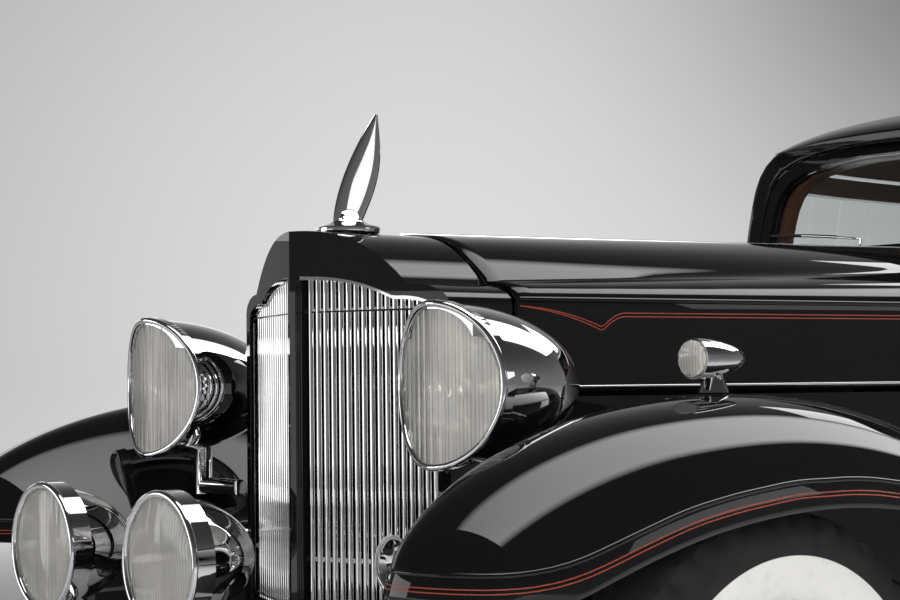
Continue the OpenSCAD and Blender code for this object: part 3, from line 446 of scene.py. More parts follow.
for look, names in flatNodes.items():
    for name in names:
        mesh = nodes[name].data
        mesh.materials.clear()
        mesh.materials.append(finish[look])
for look, names in roundNodes.items():
    for name in names:
        skins[name] = smoothCopy(name, look)
print("CAD nodes finished")


# Lenses with upright flutes: each glass is sliced every half pitch and every second slice line stands proud
def flutedLenses(name):
    bm = nodeCopy(name)
    low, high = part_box(name)
    half = fluting["pitch"] / 2
    for k in range(1, int((high.y - low.y) / half)):
        cut = bmesh.ops.bisect_plane(bm, geom=everything(bm), dist=merging["seam"],
                                     plane_co=(0, low.y + k * half, 0), plane_no=(0, 1, 0))
        if k % 2:
            bm.normal_update()
            for vert in [v for v in cut["geom_cut"] if isinstance(v, bmesh.types.BMVert)]:
                fronts = [f.normal for f in vert.link_faces if f.normal.x > fluting["front"]]
                if fronts:
                    vert.co += sum(fronts, Vector()).normalized() * fluting["proud"]
    return addPiece("fluted_lenses", bm, finish["lens"], bodyOf(name), [name], smoothAngle=45)


lenses = flutedLenses("lamp_lenses")

# Middles and rims of the head and driving lamps
lampForm = {"head": {"y": 0.448, "z": 0.998, "rim": 0.1315}, "drive": {"y": 0.196, "z": 0.724, "rim": 0.107}}

# Bulb and socket behind each lens
lampInside = {"ahead": 0.012, "bulb": 0.014, "bulbAhead": 0.035, "socket": (0.013, 0.011), "deep": 0.04,
              "bevel": 0.002}


def lampInsides():
    sockets, bulbs = bmesh.new(), bmesh.new()
    shells = treeOf(skins["lamp_shells"])
    wide, narrow = lampInside["socket"]
    for form in lampForm.values():
        for side in (-1, 1):
            back = shells.ray_cast(Vector((farAhead, form["y"] * side, form["z"])), Vector((-1, 0, 0)))[0]
            start = back + Vector((lampInside["ahead"], 0, 0))
            bulb = bmesh.ops.create_uvsphere(bulbs, u_segments=20, v_segments=12, radius=lampInside["bulb"])
            bmesh.ops.translate(bulbs, verts=bulb["verts"], vec=start + Vector((lampInside["bulbAhead"], 0, 0)))
            socket = bmesh.ops.create_cone(
                sockets, cap_ends=True, segments=24, radius1=wide, radius2=narrow, depth=lampInside["deep"],
                matrix=Matrix.Translation(start) @ Matrix.Rotation(math.pi / 2, 4, "Y"))
            roundEdges(sockets, socket["verts"][0].link_edges[:], lampInside["bevel"], segments=2)
    addPiece("bulb_sockets", sockets, finish["chrome"], "chassis", smoothAngle=40)
    addPiece("lamp_bulbs", bulbs, finish["bulb"], "chassis", smoothAngle=60)


# Spun bowls over the headlamps' tails, cut along the V of the glass
bowl = {"radius": 0.137, "vee": 0.044, "long": 0.305, "wall": 0.005, "skin": 0.0005, "cutBack": 0.012,
        "stations": 25, "bulge": 2.2, "blunt": 0.56, "steps": 96}


def makeBowls():
    form = lampForm["head"]
    tip = treeOf(lenses).ray_cast(Vector((farAhead, form["y"], form["z"])), Vector((-1, 0, 0)))[0].x
    radius = bowl["radius"] - bowl["wall"] + bowl["skin"]
    slope = bowl["vee"] / bowl["radius"]
    for side, word in sides:
        tail = Vector((tip - bowl["long"], side * form["y"], form["z"]))
        places = []
        for share in spread(0, 1, bowl["stations"]):
            t = share ** 2
            along = bowl["wall"] * (1 - t) + (bowl["long"] - bowl["wall"]) * t - bowl["skin"]
            wide = radius * max(0.0, 1 - (1 - t) ** bowl["bulge"]) ** bowl["blunt"]
            places.append(tail + Vector((along, 0, wide)))
        bm = bmesh.new()
        spinLine(bm, places, tail, (1, 0, 0), bowl["steps"])
        bmesh.ops.remove_doubles(bm, verts=bm.verts[:], dist=merging["seam"])
        for lean in (slope, -slope):
            bmesh.ops.bisect_plane(bm, geom=everything(bm), clear_outer=True, plane_no=(1, lean, 0),
                                   plane_co=(tip - bowl["cutBack"], side * form["y"], 0))
        bmesh.ops.recalc_face_normals(bm, faces=bm.faces[:])
        faceAlong(bm, Vector((-1, 0, 0)))
        addPiece(f"headlamp_bowl_{word}", bm, finish["chrome"], "chassis", smoothAngle=60)


# Half-round rims round the lamps' glasses
rimBead = {"radius": 0.0062, "sink": 0.0015, "points": 72}


def makeRims():
    tree = treeOf(skins["lamp_shells"])
    for kind, form in lampForm.items():
        for side, word in sides:
            points = []
            for k in range(rimBead["points"]):
                turn = 2 * math.pi * k / rimBead["points"]
                place = Vector((farAhead, side * form["y"] + form["rim"] * math.cos(turn),
                                form["z"] + form["rim"] * math.sin(turn)))
                spot = tree.ray_cast(place, Vector((-1, 0, 0)))[0]
                points.append(spot - Vector((rimBead["sink"], 0, 0)))
            tubeAlong(f"{kind}lamp_rim_{word}", points, rimBead["radius"], finish["chrome"], "chassis",
                      closed=True)


lampInsides()
makeBowls()
makeRims()
print("lamps dressed")


# Belt moulding with double stripes: round wires sunk into the sheet so that only their tops show
beltLine = {"height": 1.147, "moulding": 0.006, "mouldingSink": 0.003, "stripe": 0.0014, "stripeSink": 0.001,
            "drops": (0.023, 0.0295), "cuspBack": 0.17, "cuspWide": 0.05, "cuspDeep": 0.026, "cuspCurve": 2.2,
            "start": 0.012, "margin": 0.006, "points": 160, "foot": 0.003, "footSink": 0.0012, "footUp": 0.008}


def cuspHeight(back, drop):
    # a stripe on the hood, by the distance back from its front edge: a slow dip, a point and a quick rise
    share = back / beltLine["cuspBack"]
    after = max(0.0, 1 - (back - beltLine["cuspBack"]) / beltLine["cuspWide"])
    dip = beltLine["cuspDeep"] * (share ** beltLine["cuspCurve"] if share < 1 else after ** 2)
    return beltLine["height"] - beltLine["start"] - (drop - beltLine["start"]) * min(1.0, share) - dip


def beltTrim(name, side, label):
    low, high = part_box(name)
    tree = treeOf(skins[name])
    first, last = high.x - beltLine["margin"], low.x + beltLine["margin"]
    isHood = name.startswith("hood")
    lines = [("moulding", "body", beltLine["moulding"], beltLine["mouldingSink"], lambda x: beltLine["height"])]
    for k, drop in enumerate(beltLine["drops"]):
        def stripeHeight(x, drop=drop):
            return cuspHeight(first - x, drop) if isHood else beltLine["height"] - drop
        lines.append((f"stripe_{k}", "stripe", beltLine["stripe"], beltLine["stripeSink"], stripeHeight))
    # stand-in highlight: a thin chrome strip along the hood's foot, where the real hood only shows a bright
    # reflection of its lower edge
    if isHood:
        lines.append(("highlight_strip", "chrome", beltLine["foot"], beltLine["footSink"],
                      lambda x: low.z + beltLine["footUp"]))
    for part, look, radius, sink, height in lines:
        points = sideLine(tree, spread(first, last, beltLine["points"]), height, side, sink)
        if len(points) > 2:
            tubeAlong(f"{label}_{part}", points, radius, finish[look], bodyOf(name))


for side, word in sides:
    for name in (f"hood_{word}", f"door_{word}"):
        beltTrim(name, side, name)
    beltTrim("cowl", side, f"cowl_{word}")
print("belt line laid")


# Double stripes and a raised bead that follow each fender's lip
fenderTrim = {"stripes": (0.0185, 0.0245), "stripe": 0.0014, "stripeSink": 0.001, "bead": 0.043,
              "beadRadius": 0.0045, "beadSink": 0.002, "lipSide": 0.72, "lipFrom": 0.36, "lipStep": 0.004,
              "lipTries": 260, "noseBack": 0.24, "noseFoot": 0.12, "noseTurns": range(86, -62, -3),
              "noseReach": 0.6, "join": (0.01, 0.06), "smooth": 6, "pitch": 0.008, "reach": 0.2,
              "front": range(179, 24, -2), "rear": range(172, 8, -2)}


def archLip(tree, hub, side, angles):
    # lower edge of the fender's outer side, found from the side along rays out of the hub
    lip = []
    for angle in angles:
        ray = Vector((math.cos(math.radians(angle)), 0, math.sin(math.radians(angle))))
        for k in range(fenderTrim["lipTries"]):
            away = fenderTrim["lipFrom"] + fenderTrim["lipStep"] * k
            place = Vector((hub.x, side * farOut, hub.z)) + ray * away
            spot = tree.ray_cast(place, Vector((0, -side, 0)), farOut - fenderTrim["lipSide"])[0]
            if spot:
                lip.append(spot)
                break
    return lip


def noseLine(tree, middle, side):
    # level line round the fender's nose, from its outer side to its inner side
    points = []
    for turn in fenderTrim["noseTurns"]:
        ray = Vector((math.cos(math.radians(turn)), side * math.sin(math.radians(turn)), 0))
        spot = tree.ray_cast(middle + ray * fenderTrim["noseReach"], -ray, fenderTrim["noseReach"])[0]
        if spot:
            points.append(spot)
    return points


def edgeLine(tree, lip, nose, hub, side, inset):
    # the lip moved up by inset, joined to the nose's line and smoothed
    line = []
    for k in range(1, len(lip) - 1):
        run = lip[k + 1] - lip[k - 1]
        out = Vector((-run.z, 0, run.x)).normalized()
        if out.dot(lip[k] - hub) < 0:
            out = -out
        place = lip[k] + out * inset
        if nose and place.z < nose[0].z and place.x > hub.x:
            continue
        spot = tree.ray_cast(Vector((place.x, side * farOut, place.z)), Vector((0, -side, 0)), farOut)[0]
        if spot:
            line.append(spot)
    if nose:
        ahead, inward = fenderTrim["join"]
        line += [p for p in nose if p.x > line[-1].x + ahead or abs(p.y) < abs(line[-1].y) - inward]
    for _ in range(fenderTrim["smooth"]):
        line = line[:1] + [(a + b * 2 + c) / 4 for a, b, c in zip(line, line[1:], line[2:])] + line[-1:]
    return line


def onFender(tree, line, middle, side, isNosed, sink):
    # closely spaced points of the line, put back on the sheet
    points = []
    for a, b in zip(line, line[1:]):
        steps = max(1, round((b - a).length / fenderTrim["pitch"]))
        for k in range(steps):
            place = a.lerp(b, k / steps)
            out = Vector((0, side, 0))
            if isNosed and place.x > middle.x:
                out = Vector((place.x - middle.x, place.y - middle.y, 0)).normalized()
            spot, normal, _, _ = tree.ray_cast(place + out * fenderTrim["reach"], -out, fenderTrim["reach"] * 2)
            if spot:
                points.append(spot - normal * sink)
    return points


def fenderLines(end, word):
    name = f"{end}_fender_{word}"
    low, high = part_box(f"tyre_{end}_{word}")
    hub = (low + high) / 2
    tree = treeOf(skins[name])
    low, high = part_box(name)
    side = math.copysign(1, low.y + high.y)
    lip = archLip(tree, hub, side, fenderTrim[end])
    foot = min(v.co.z for v in nodes[name].data.vertices if v.co.x > high.x - fenderTrim["noseFoot"])
    lines = [(f"stripe_{k}", inset, "stripe", fenderTrim["stripe"], fenderTrim["stripeSink"])
             for k, inset in enumerate(fenderTrim["stripes"])]
    lines.append(("bead", fenderTrim["bead"], "body", fenderTrim["beadRadius"], fenderTrim["beadSink"]))
    for label, inset, look, radius, sink in lines:
        middle = Vector((high.x - fenderTrim["noseBack"], (low.y + high.y) / 2, foot + inset))
        nose = noseLine(tree, middle, side) if end == "front" else []
        line = edgeLine(tree, lip, nose, hub, side, inset)
        points = onFender(tree, line, middle, side, bool(nose), sink)
        tubeAlong(f"{name}_{label}", points, radius, finish[look], bodyOf(name))


for end in ("front", "rear"):
    for _, word in sides:
        fenderLines(end, word)
print("fender lines laid")


# Radiator cap: a spun base with a smooth vane of lens-shaped sections
cap = {"base": [(0.054, 0.0), (0.0585, 0.0015), (0.060, 0.006), (0.0585, 0.012), (0.050, 0.015),
                (0.040, 0.018), (0.031, 0.022), (0.026, 0.026), (0.021, 0.033), (0.018, 0.040),
                (0.010, 0.0445), (0.0, 0.046)],
       "radius": 0.060, "steps": 64, "foot": 0.020, "thick": 0.0066, "thinning": 0.6, "sections": 22,
       "segments": 28, "front": 0.034, "frontRake": 0.096, "frontCurve": 1.6, "back": 0.030, "backRake": 0.040,
       "backCurve": 2.2, "belly": 0.034}


def makeCap():
    low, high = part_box("radiator_cap")
    axis = Vector((high.x - cap["radius"], 0, low.z))
    bm = bmesh.new()
    spinLine(bm, [axis + Vector((r, 0, h)) for r, h in cap["base"]], axis, (0, 0, 1), cap["steps"])
    tall = high.z - low.z - cap["foot"]
    before = None
    for k in range(cap["sections"] + 1):
        t = k / cap["sections"]
        front = cap["front"] - cap["frontRake"] * t ** cap["frontCurve"]
        back = -cap["back"] - cap["backRake"] * t ** cap["backCurve"] - cap["belly"] * math.sin(math.pi * t)
        place = axis + Vector(((front + back) / 2, 0, cap["foot"] + tall * t))
        size = Matrix.Diagonal(((front - back) / 2, cap["thick"] * (1 - cap["thinning"] * t), 1, 1))
        ring = bmesh.ops.create_circle(bm, segments=cap["segments"], radius=1, cap_ends=k in (0, cap["sections"]),
                                       matrix=Matrix.Translation(place) @ size)["verts"]
        loop = list({e for v in ring for e in v.link_edges})
        if before:
            bmesh.ops.bridge_loops(bm, edges=before + loop)
        before = loop
    closeUp(bm)
    addPiece("cap_vane", bm, finish["chrome"], bodyOf("radiator_cap"), ["radiator_cap"], smoothAngle=40)


makeCap()


# A thin black wire across the shutters, under the grille's scalloped head
grilleDarkLine = {"height": 1.130, "radius": 0.0016, "ahead": 0.0006, "inner": 0.018, "outer": 0.272,
              "search": 0.016, "tries": 17}


def makeGrilleDarkLine():
    tree = treeOf(skins["grille"])
    for side, word in sides:
        ends = []
        for y in (grilleDarkLine["inner"], grilleDarkLine["outer"]):
            hits = [tree.ray_cast(Vector((farAhead, side * (y + dy), grilleDarkLine["height"])), Vector((-1, 0, 0)))[0]
                    for dy in spread(-grilleDarkLine["search"], grilleDarkLine["search"], grilleDarkLine["tries"])]
            crest = max(h.x for h in hits if h)
            ends.append(Vector((crest + grilleDarkLine["ahead"], side * y, grilleDarkLine["height"])))
        tubeAlong(f"grille_seam_{word}", ends, grilleDarkLine["radius"], finish["wheel"], "chassis")


makeGrilleDarkLine()


# Wood round the inside of the windshield
garnish = {"back": 0.042, "shrink": 0.965}


def makeGarnish():
    bm = nodeCopy("windshield_frame")
    low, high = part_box("windshield_frame")
    middle = (low + high) / 2
    scale = Matrix.Diagonal((1, garnish["shrink"], garnish["shrink"], 1))
    bmesh.ops.transform(bm, matrix=Matrix.Translation(middle - Vector((garnish["back"], 0, 0))) @ scale
                        @ Matrix.Translation(-middle), verts=bm.verts[:])
    addPiece("windshield_garnish", bm, finish["wood"], "chassis", smoothAngle=30)


makeGarnish()


# Wipers resting along the foot of the windshield
wiper = {"pivots": (0.33, -0.20), "long": 0.30, "points": 12, "rise": 0.045, "bow": 0.4, "above": 0.014,
         "ahead": 0.011, "arm": 0.0028, "armAhead": 0.006, "armPoints": 8, "blade": 0.0042, "bladeFrom": 3,
         "foot": (0.012, 0, -0.03), "boss": (0.013, 0.009), "bossDeep": 0.03, "bossBevel": 0.003,
         "search": 60, "searchStep": 0.01}


def makeWipers():
    glass = treeOf(nodes["fixed_glass"])
    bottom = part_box("windshield_frame")[0].z
    back = Vector((-1, 0, 0))
    wide, narrow = wiper["boss"]
    for k, pivot in enumerate(wiper["pivots"]):
        points = []
        for t in spread(0, 1, wiper["points"]):
            y = pivot - wiper["long"] * t
            for step in range(wiper["search"]):
                z = bottom + wiper["searchStep"] * step
                spot = glass.ray_cast(Vector((farAhead, y, z)), back)[0]
                if spot and spot.x > 0:  # the windshield, not the rear window
                    break
            z += wiper["above"] + wiper["rise"] * t * (1 - wiper["bow"] * t)
            spot, normal, _, _ = glass.ray_cast(Vector((farAhead, y, z)), back)
            points.append(spot + normal * wiper["ahead"])
        foot = points[0] + Vector(wiper["foot"])
        arm = [foot] + [p + Vector((wiper["armAhead"], 0, 0)) for p in points[:wiper["armPoints"]]]
        tubeAlong(f"wiper_arm_{k}", arm, wiper["arm"], finish["chrome"], "chassis")
        tubeAlong(f"wiper_blade_{k}", points[wiper["bladeFrom"]:], wiper["blade"], finish["rubber"], "chassis")
        bm = bmesh.new()
        bmesh.ops.create_cone(bm, cap_ends=True, segments=28, radius1=wide, radius2=narrow,
                              depth=wiper["bossDeep"],
                              matrix=Matrix.Translation(foot) @ Matrix.Rotation(math.pi / 2, 4, "Y"))
        roundEdges(bm, sharpEdges(bm), wiper["bossBevel"], segments=3)
        addPiece(f"wiper_pivot_{k}", bm, finish["chrome"], "chassis", smoothAngle=35)


makeWipers()


# Lever handles near the doors' front edges; the cones are given by radius, top, depth and place
handle = {"back": 0.10, "height": 1.045, "stand": 0.036, "long": 0.115, "bar": 0.0075, "bevel": 0.0025,
          "cones": ((0.024, 0.018, 0.012, 0.004), (0.011, 0.009, 0.036, 0.018)), "points": 14,
          "bulge": 0.010, "bulgeTurn": 3, "front": 0.016, "droop": 0.012}


def makeHandle(word, side):
    name = f"door_{word}"
    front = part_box(name)[1].x - handle["back"]
    spot = sideLine(treeOf(skins[name]), [front], lambda x: handle["height"], side, 0)[0]
    out = Vector((0, side, 0))
    turn = Matrix.Rotation(-side * math.pi / 2, 4, "X")
    bm = bmesh.new()
    for radius, top, deep, shift in handle["cones"]:
        bmesh.ops.create_cone(bm, cap_ends=True, segments=40, radius1=radius, radius2=top, depth=deep,
                              matrix=Matrix.Translation(spot + out * shift) @ turn)
    roundEdges(bm, sharpEdges(bm), handle["bevel"], segments=3)
    addPiece(f"{name}_handle_base", bm, finish["chrome"], bodyOf(name), smoothAngle=35)
    points = []
    for t in spread(0, 1, handle["points"]):
        stand = handle["stand"] + handle["bulge"] * math.sin(handle["bulgeTurn"] * t)
        along = Vector((handle["long"] * t - handle["front"], 0, handle["droop"] * t * t))
        points.append(spot + out * stand - along)
    tubeAlong(f"{name}_handle", points, handle["bar"], finish["chrome"], bodyOf(name))


for side, word in sides:
    makeHandle(word, side)
print("ornament, seam, garnish, wipers and handles made")


# Cloth lining on the inner faces of the cabin shell and the doors
lining = {"off": 0.0015, "thick": 0.003, "front": (0.30, 0, 1.306), "rake": (1, 0, 0.16), "middle": 1.30,
          "inward": 0.55, "doorInward": 0.8}


def makeLining(name, isInner):
    bm = nodeCopy(name)
    bm.normal_update()
    outside = [f for f in bm.faces if not isInner(f.normal, f.calc_center_median())]
    bmesh.ops.delete(bm, geom=outside, context="FACES")
    if name == "cabin_top":  # stops short of the windshield
        bmesh.ops.bisect_plane(bm, geom=everything(bm), plane_co=lining["front"], plane_no=lining["rake"],
                               clear_outer=True)
    bm.normal_update()
    for vert in bm.verts:
        vert.co += vert.normal * lining["off"]
    bmesh.ops.solidify(bm, geom=bm.faces[:], thickness=-lining["thick"])
    bmesh.ops.recalc_face_normals(bm, faces=bm.faces[:])
    addPiece(f"{name}_lining", bm, finish["cloth"], bodyOf(name), smoothAngle=30)


makeLining("cabin_top",
           lambda n, c: n.dot(Vector((0, -c.y, lining["middle"] - c.z)).normalized()) > lining["inward"])
makeLining("door_left", lambda n, c: n.y < -lining["doorInward"])
makeLining("door_right", lambda n, c: n.y > lining["doorInward"])


# Ribbed mats on the running boards
ribs = {"count": 9, "first": 0.615, "pitch": 0.034, "wide": 0.011, "tall": 0.005, "bevel": 0.0025,
        "fromRear": 0.16, "fromFront": 0.20, "above": 1.5}


def makeRibs():
    low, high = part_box("running_boards")
    tree = treeOf(skins["running_boards"])
    bm = bmesh.new()
    start, stop = low.x + ribs["fromRear"], high.x - ribs["fromFront"]
    size = Matrix.Diagonal((stop - start, ribs["wide"], ribs["tall"] * 2, 1))
    for side in (1, -1):
        for k in range(ribs["count"]):
            place = Vector(((start + stop) / 2, side * (ribs["first"] + k * ribs["pitch"]), ribs["above"]))
            top = tree.ray_cast(place, Vector((0, 0, -1)))[0]
            bmesh.ops.create_cube(bm, size=1, matrix=Matrix.Translation(top) @ size)
    roundEdges(bm, bm.edges[:], ribs["bevel"], segments=2)
    addPiece("board_ribs", bm, finish["rubber"], "chassis", smoothAngle=40)


makeRibs()


# Red glasses of the tail lamps
tailGlass = {"profile": [(0.0335, 0.0), (0.0335, 0.003), (0.030, 0.0075), (0.022, 0.0105), (0.012, 0.012),
                         (0.0, 0.0125)], "radius": 0.036, "behind": 0.5, "steps": 48}


def makeTailGlass():
    tree = treeOf(skins["tail_lamps"])
    low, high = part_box("tail_lamps")
    bm = bmesh.new()
    for side in (1, -1):
        place = Vector((low.x - tailGlass["behind"], side * (high.y - tailGlass["radius"]),
                        high.z - tailGlass["radius"]))
        face = tree.ray_cast(place, Vector((1, 0, 0)))[0]
        spinLine(bm, [face + Vector((-d, 0, r)) for r, d in tailGlass["profile"]], face, (1, 0, 0),
                 tailGlass["steps"])
    closeUp(bm)
    faceAlong(bm, Vector((-1, 0, 0)))
    addPiece("tail_glasses", bm, finish["redGlass"], "chassis", smoothAngle=50)


makeTailGlass()


# Dials on the dashboard: a bright bezel round a pale face with a needle
dials = {"places": (-0.21, -0.07, 0.07, 0.21), "behind": 0.5, "steps": 48, "face": 0.039, "faceDeep": 0.003,
         "faceOut": 0.0012, "bezel": [(0.046, 0.0), (0.046, 0.004), (0.043, 0.007), (0.040, 0.007),
                                      (0.0385, 0.004), (0.0385, 0.0)],
         "needle": (0.0022, 0.0005), "needleLong": 0.03, "needleOut": 0.004, "needleUp": 0.012,
         "firstTurn": 40, "nextTurn": 55}


def makeDials():
    low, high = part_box("dashboard")
    tree = treeOf(nodes["dashboard"])
    rings, faces, needles = bmesh.new(), bmesh.new(), bmesh.new()
    wide, narrow = dials["needle"]
    for k, y in enumerate(dials["places"]):
        place = Vector((low.x - dials["behind"], y, (low.z + high.z) / 2))
        spot = tree.ray_cast(place, Vector((1, 0, 0)))[0]
        spinLine(rings, [spot + Vector((-d, 0, r)) for r, d in dials["bezel"]], spot, (1, 0, 0), dials["steps"])
        onFace = Matrix.Translation(spot - Vector((dials["faceOut"], 0, 0)))
        bmesh.ops.create_cone(faces, cap_ends=True, segments=40, radius1=dials["face"], radius2=dials["face"],
                              depth=dials["faceDeep"], matrix=onFace @ Matrix.Rotation(-math.pi / 2, 4, "Y"))
        turn = Matrix.Rotation(math.radians(dials["firstTurn"] + dials["nextTurn"] * k), 4, "X")
        overFace = Matrix.Translation(spot - Vector((dials["needleOut"], 0, 0)))
        bmesh.ops.create_cone(needles, cap_ends=True, segments=8, radius1=wide, radius2=narrow,
                              depth=dials["needleLong"],
                              matrix=overFace @ turn @ Matrix.Translation((0, 0, dials["needleUp"])))
    for bm in (rings, faces, needles):
        closeUp(bm)
    addPiece("dial_bezels", rings, finish["chrome"], "chassis", smoothAngle=40)
    addPiece("dial_faces", faces, finish["dial"], "chassis", smoothAngle=40)
    addPiece("dial_needles", needles, finish["wheel"], "chassis", smoothAngle=40)


makeDials()
print("lining, mats, tail glasses and dials made")


# Tyres with ribs, grooves and notched shoulders; profiles are given by radius and half width
tread = {"steps": 168, "radius": 0.4, "crown": 0.0035, "crownHalf": 0.05, "groove": 0.007, "grooveWide": 0.0045,
         "grooveFoot": 0.6, "grooves": (-0.046, -0.023, 0.0, 0.023, 0.046), "edge": (0.3945, 0.066),
         "notchEvery": 4, "notch": 0.006, "notchSide": 0.6, "notchRadii": (0.379, 0.396), "notchFrom": 0.064}
tyreHalf = [(0.2163, 0.0615), (0.234, 0.0615), (0.250, 0.077), (0.262, 0.0865), (0.276, 0.092),
            (0.294, 0.0942), (0.3117, 0.095), (0.328, 0.0935), (0.3448, 0.091), (0.358, 0.0865),
            (0.370, 0.081), (0.381, 0.0755), (0.389, 0.070), tread["edge"]]


def tyreProfile():
    crown = []
    half = tread["grooveWide"] / 2
    foot = half * tread["grooveFoot"]
    for w in tread["grooves"]:
        top = tread["radius"] - tread["crown"] * (abs(w) / tread["crownHalf"]) ** 2
        deep = top - tread["groove"]
        crown += [(top, w - half), (deep, w - foot), (deep, w + foot), (top, w + half)]
    return [(r, -w) for r, w in tyreHalf] + crown + tyreHalf[::-1]


def makeTyre(name):
    low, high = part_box(name)
    hub = (low + high) / 2
    bm = bmesh.new()
    spinLine(bm, [(hub.x, hub.y + w, hub.z + r) for r, w in tyreProfile()], hub, (0, 1, 0), tread["steps"],
             closed=True)
    closeUp(bm)
    inner, outer = tread["notchRadii"]
    for vert in bm.verts:
        out = vert.co - hub
        step = round(math.atan2(out.z, out.x) / (2 * math.pi) * tread["steps"])
        isShoulder = inner < math.hypot(out.x, out.z) < outer and abs(out.y) > tread["notchFrom"]
        if isShoulder and step % tread["notchEvery"] == 0:
            vert.co -= Vector((out.x, 0, out.z)).normalized() * tread["notch"]
            vert.co.y -= math.copysign(tread["notch"] * tread["notchSide"], out.y)
    addPiece(name + "_tread", bm, tyreMaterial(name + "_rubber", hub), bodyOf(name), [name],
             smoothAngle=38)


# Bright hub cap: a spun bell with two rings
hubCap = {"profile": [(0.087, 0.060), (0.0885, 0.063), (0.087, 0.067), (0.0835, 0.068), (0.082, 0.0765),
                      (0.076, 0.081), (0.070, 0.0825), (0.0685, 0.0845), (0.064, 0.0875), (0.054, 0.0915),
                      (0.042, 0.0945), (0.030, 0.097), (0.015, 0.0985), (0.0, 0.099)],
          "proud": 0.0006, "steps": 64}


def makeHubCap(name):
    low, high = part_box(name.replace("wheel", "tyre"))
    hub = (low + high) / 2
    side = math.copysign(1, hub.y)
    bm = bmesh.new()
    spinLine(bm, [(hub.x, hub.y + side * (w + hubCap["proud"]), hub.z + r) for r, w in hubCap["profile"]], hub,
             (0, 1, 0), hubCap["steps"])
    closeUp(bm)
    faceAlong(bm, Vector((0, side, 0)))
    addPiece(name + "_cap", bm, finish["chrome"], bodyOf(name), smoothAngle=40)


for end in ("front", "rear"):
    for _, word in sides:
        makeTyre(f"tyre_{end}_{word}")
        makeHubCap(f"wheel_{end}_{word}")
print("tyres and hub caps made")


# Cushions: pressed out by a short cloth run, then sewn into channels across the car
pads = {
    "seat_cushion": {"look": "cloth", "channels": 13, "face": (0, 0, 1), "swell": 0.02},
    "seat_back": {"look": "cloth", "channels": 13, "face": (1, 0, 0), "swell": 0.02},
    "rumble_cushion": {"look": "leather", "channels": 9, "face": (0, 0, 1), "swell": 0.018},
}
padShape = {"voxel": 0.014, "shrink": 0.014, "sharp": 50.0, "bevel": 0.03, "pressure": 4.0, "quality": 4,
            "frames": 20, "sewDeep": 0.011, "sewWide": 0.012}


def inflate(piece, swell):
    before = [v.co.copy() for v in piece.data.vertices]
    cloth = piece.modifiers.new("pressure", "CLOTH")
    cloth.settings.use_pressure = True
    cloth.settings.uniform_pressure_force = padShape["pressure"]
    cloth.settings.effector_weights.gravity = 0
    cloth.settings.quality = padShape["quality"]
    scene = bpy.context.scene
    for k in range(1, padShape["frames"] + 1):
        scene.frame_set(k)
    swollen = finalMesh(piece)
    piece.modifiers.remove(cloth)
    for vert, start, end in zip(piece.data.vertices, before, swollen.vertices):
        move = end.co - start
        if move.length > swell:
            move *= swell / move.length
        vert.co = start + move
    bpy.data.meshes.remove(swollen)
    scene.frame_set(1)


def makePad(name):
    pad = pads[name]
    low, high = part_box(name)
    middle, size = (low + high) / 2, high - low
    bm = nodeCopy(name)
    for vert in bm.verts:
        vert.co = middle + Vector([(c - m) * (1 - 2 * padShape["shrink"] / s)
                                   for c, m, s in zip(vert.co, middle, size)])
    roundEdges(bm, sharpEdges(bm, math.radians(padShape["sharp"])), padShape["bevel"], segments=3)
    piece = addPiece(name + "_pad", bm, finish[pad["look"]], bodyOf(name), [name])
    remesh = piece.modifiers.new("even", "REMESH")
    remesh.mode = "VOXEL"
    remesh.voxel_size = padShape["voxel"]
    even = finalMesh(piece)
    piece.modifiers.remove(remesh)
    old = piece.data
    piece.data = even
    even.name = old.name
    bpy.data.meshes.remove(old)
    if not even.materials:
        even.materials.append(finish[pad["look"]])
    inflate(piece, pad["swell"])
    face = Vector(pad["face"])
    pitch = size.y / pad["channels"]
    even.update()
    for vert in even.vertices:
        turned = max(0.0, vert.normal.dot(face))
        fromSeam = pitch / 2 - abs((vert.co.y - low.y) / pitch % 1 - 0.5) * pitch
        vert.co -= face * padShape["sewDeep"] * turned * math.exp(-(fromSeam / padShape["sewWide"]) ** 2)
    even.shade_smooth()
    subdivide(piece, 1)


for name in pads:
    makePad(name)
print("cushions made")


# Stage, light and camera
studio = {"floorHalf": 14.0, "floorColour": (0.66, 0.66, 0.67), "patchy": 0.985, "fadeFrom": 4.5, "fadeTo": 9.0}


def makeFloor():
    bm = bmesh.new()
    bmesh.ops.create_grid(bm, x_segments=1, y_segments=1, size=studio["floorHalf"])
    mesh = bpy.data.meshes.new("floor")
    bm.to_mesh(mesh)
    bm.free()
    mat, wire, place = newMaterial("floor", Roughness=0.9, Specular_IOR_Level=0.1)
    away = wire.add("ShaderNodeVectorMath", "Value", {"operation": "LENGTH"}, {0: place})
    patches = tint(wire, noise(wire, place, 0.7), studio["floorColour"],
                   shaded(studio["floorColour"], studio["patchy"]))
    feed(mat, Base_Color=patches, Alpha=1 - away.clamp(studio["fadeFrom"], studio["fadeTo"]))
    mesh.materials.append(mat)
    piece = bpy.data.objects.new("floor", mesh)
    bpy.context.scene.collection.objects.link(piece)


makeFloor()

# Dark studio with a pale backdrop: a bright middle, a shaded corner, a soft band on the horizon, grey ground
backdrop = {"middle": (-0.66, -0.752, 0.0625), "spread": 0.105, "glow": 0.58, "horizon": 0.12,
            "horizonSpread": 0.09, "corner": (-0.844, -0.602, 0.217), "cornerSpread": 0.012, "shade": 0.33,
            "ceiling": 0.04, "ground": 0.22, "groundDeep": 0.2, "tone": (1.0, 1.0, 1.01)}
world = bpy.data.worlds.new("studio")
bpy.context.scene.world = world
world.use_nodes = True
wire = Wire(world.node_tree)
way = wire.add("ShaderNodeTexCoord", "Generated")
near, aside = [wire.add("ShaderNodeVectorMath", "Value", {"operation": "DOT_PRODUCT"},
                        {0: way, 1: Vector(backdrop[spot]).normalized()}) for spot in ("middle", "corner")]
height = wire.add("ShaderNodeSeparateXYZ", "Z", {}, {"Vector": way})
glow = wire.calc("EXPONENT", (near - 1) / backdrop["spread"]) * backdrop["glow"]
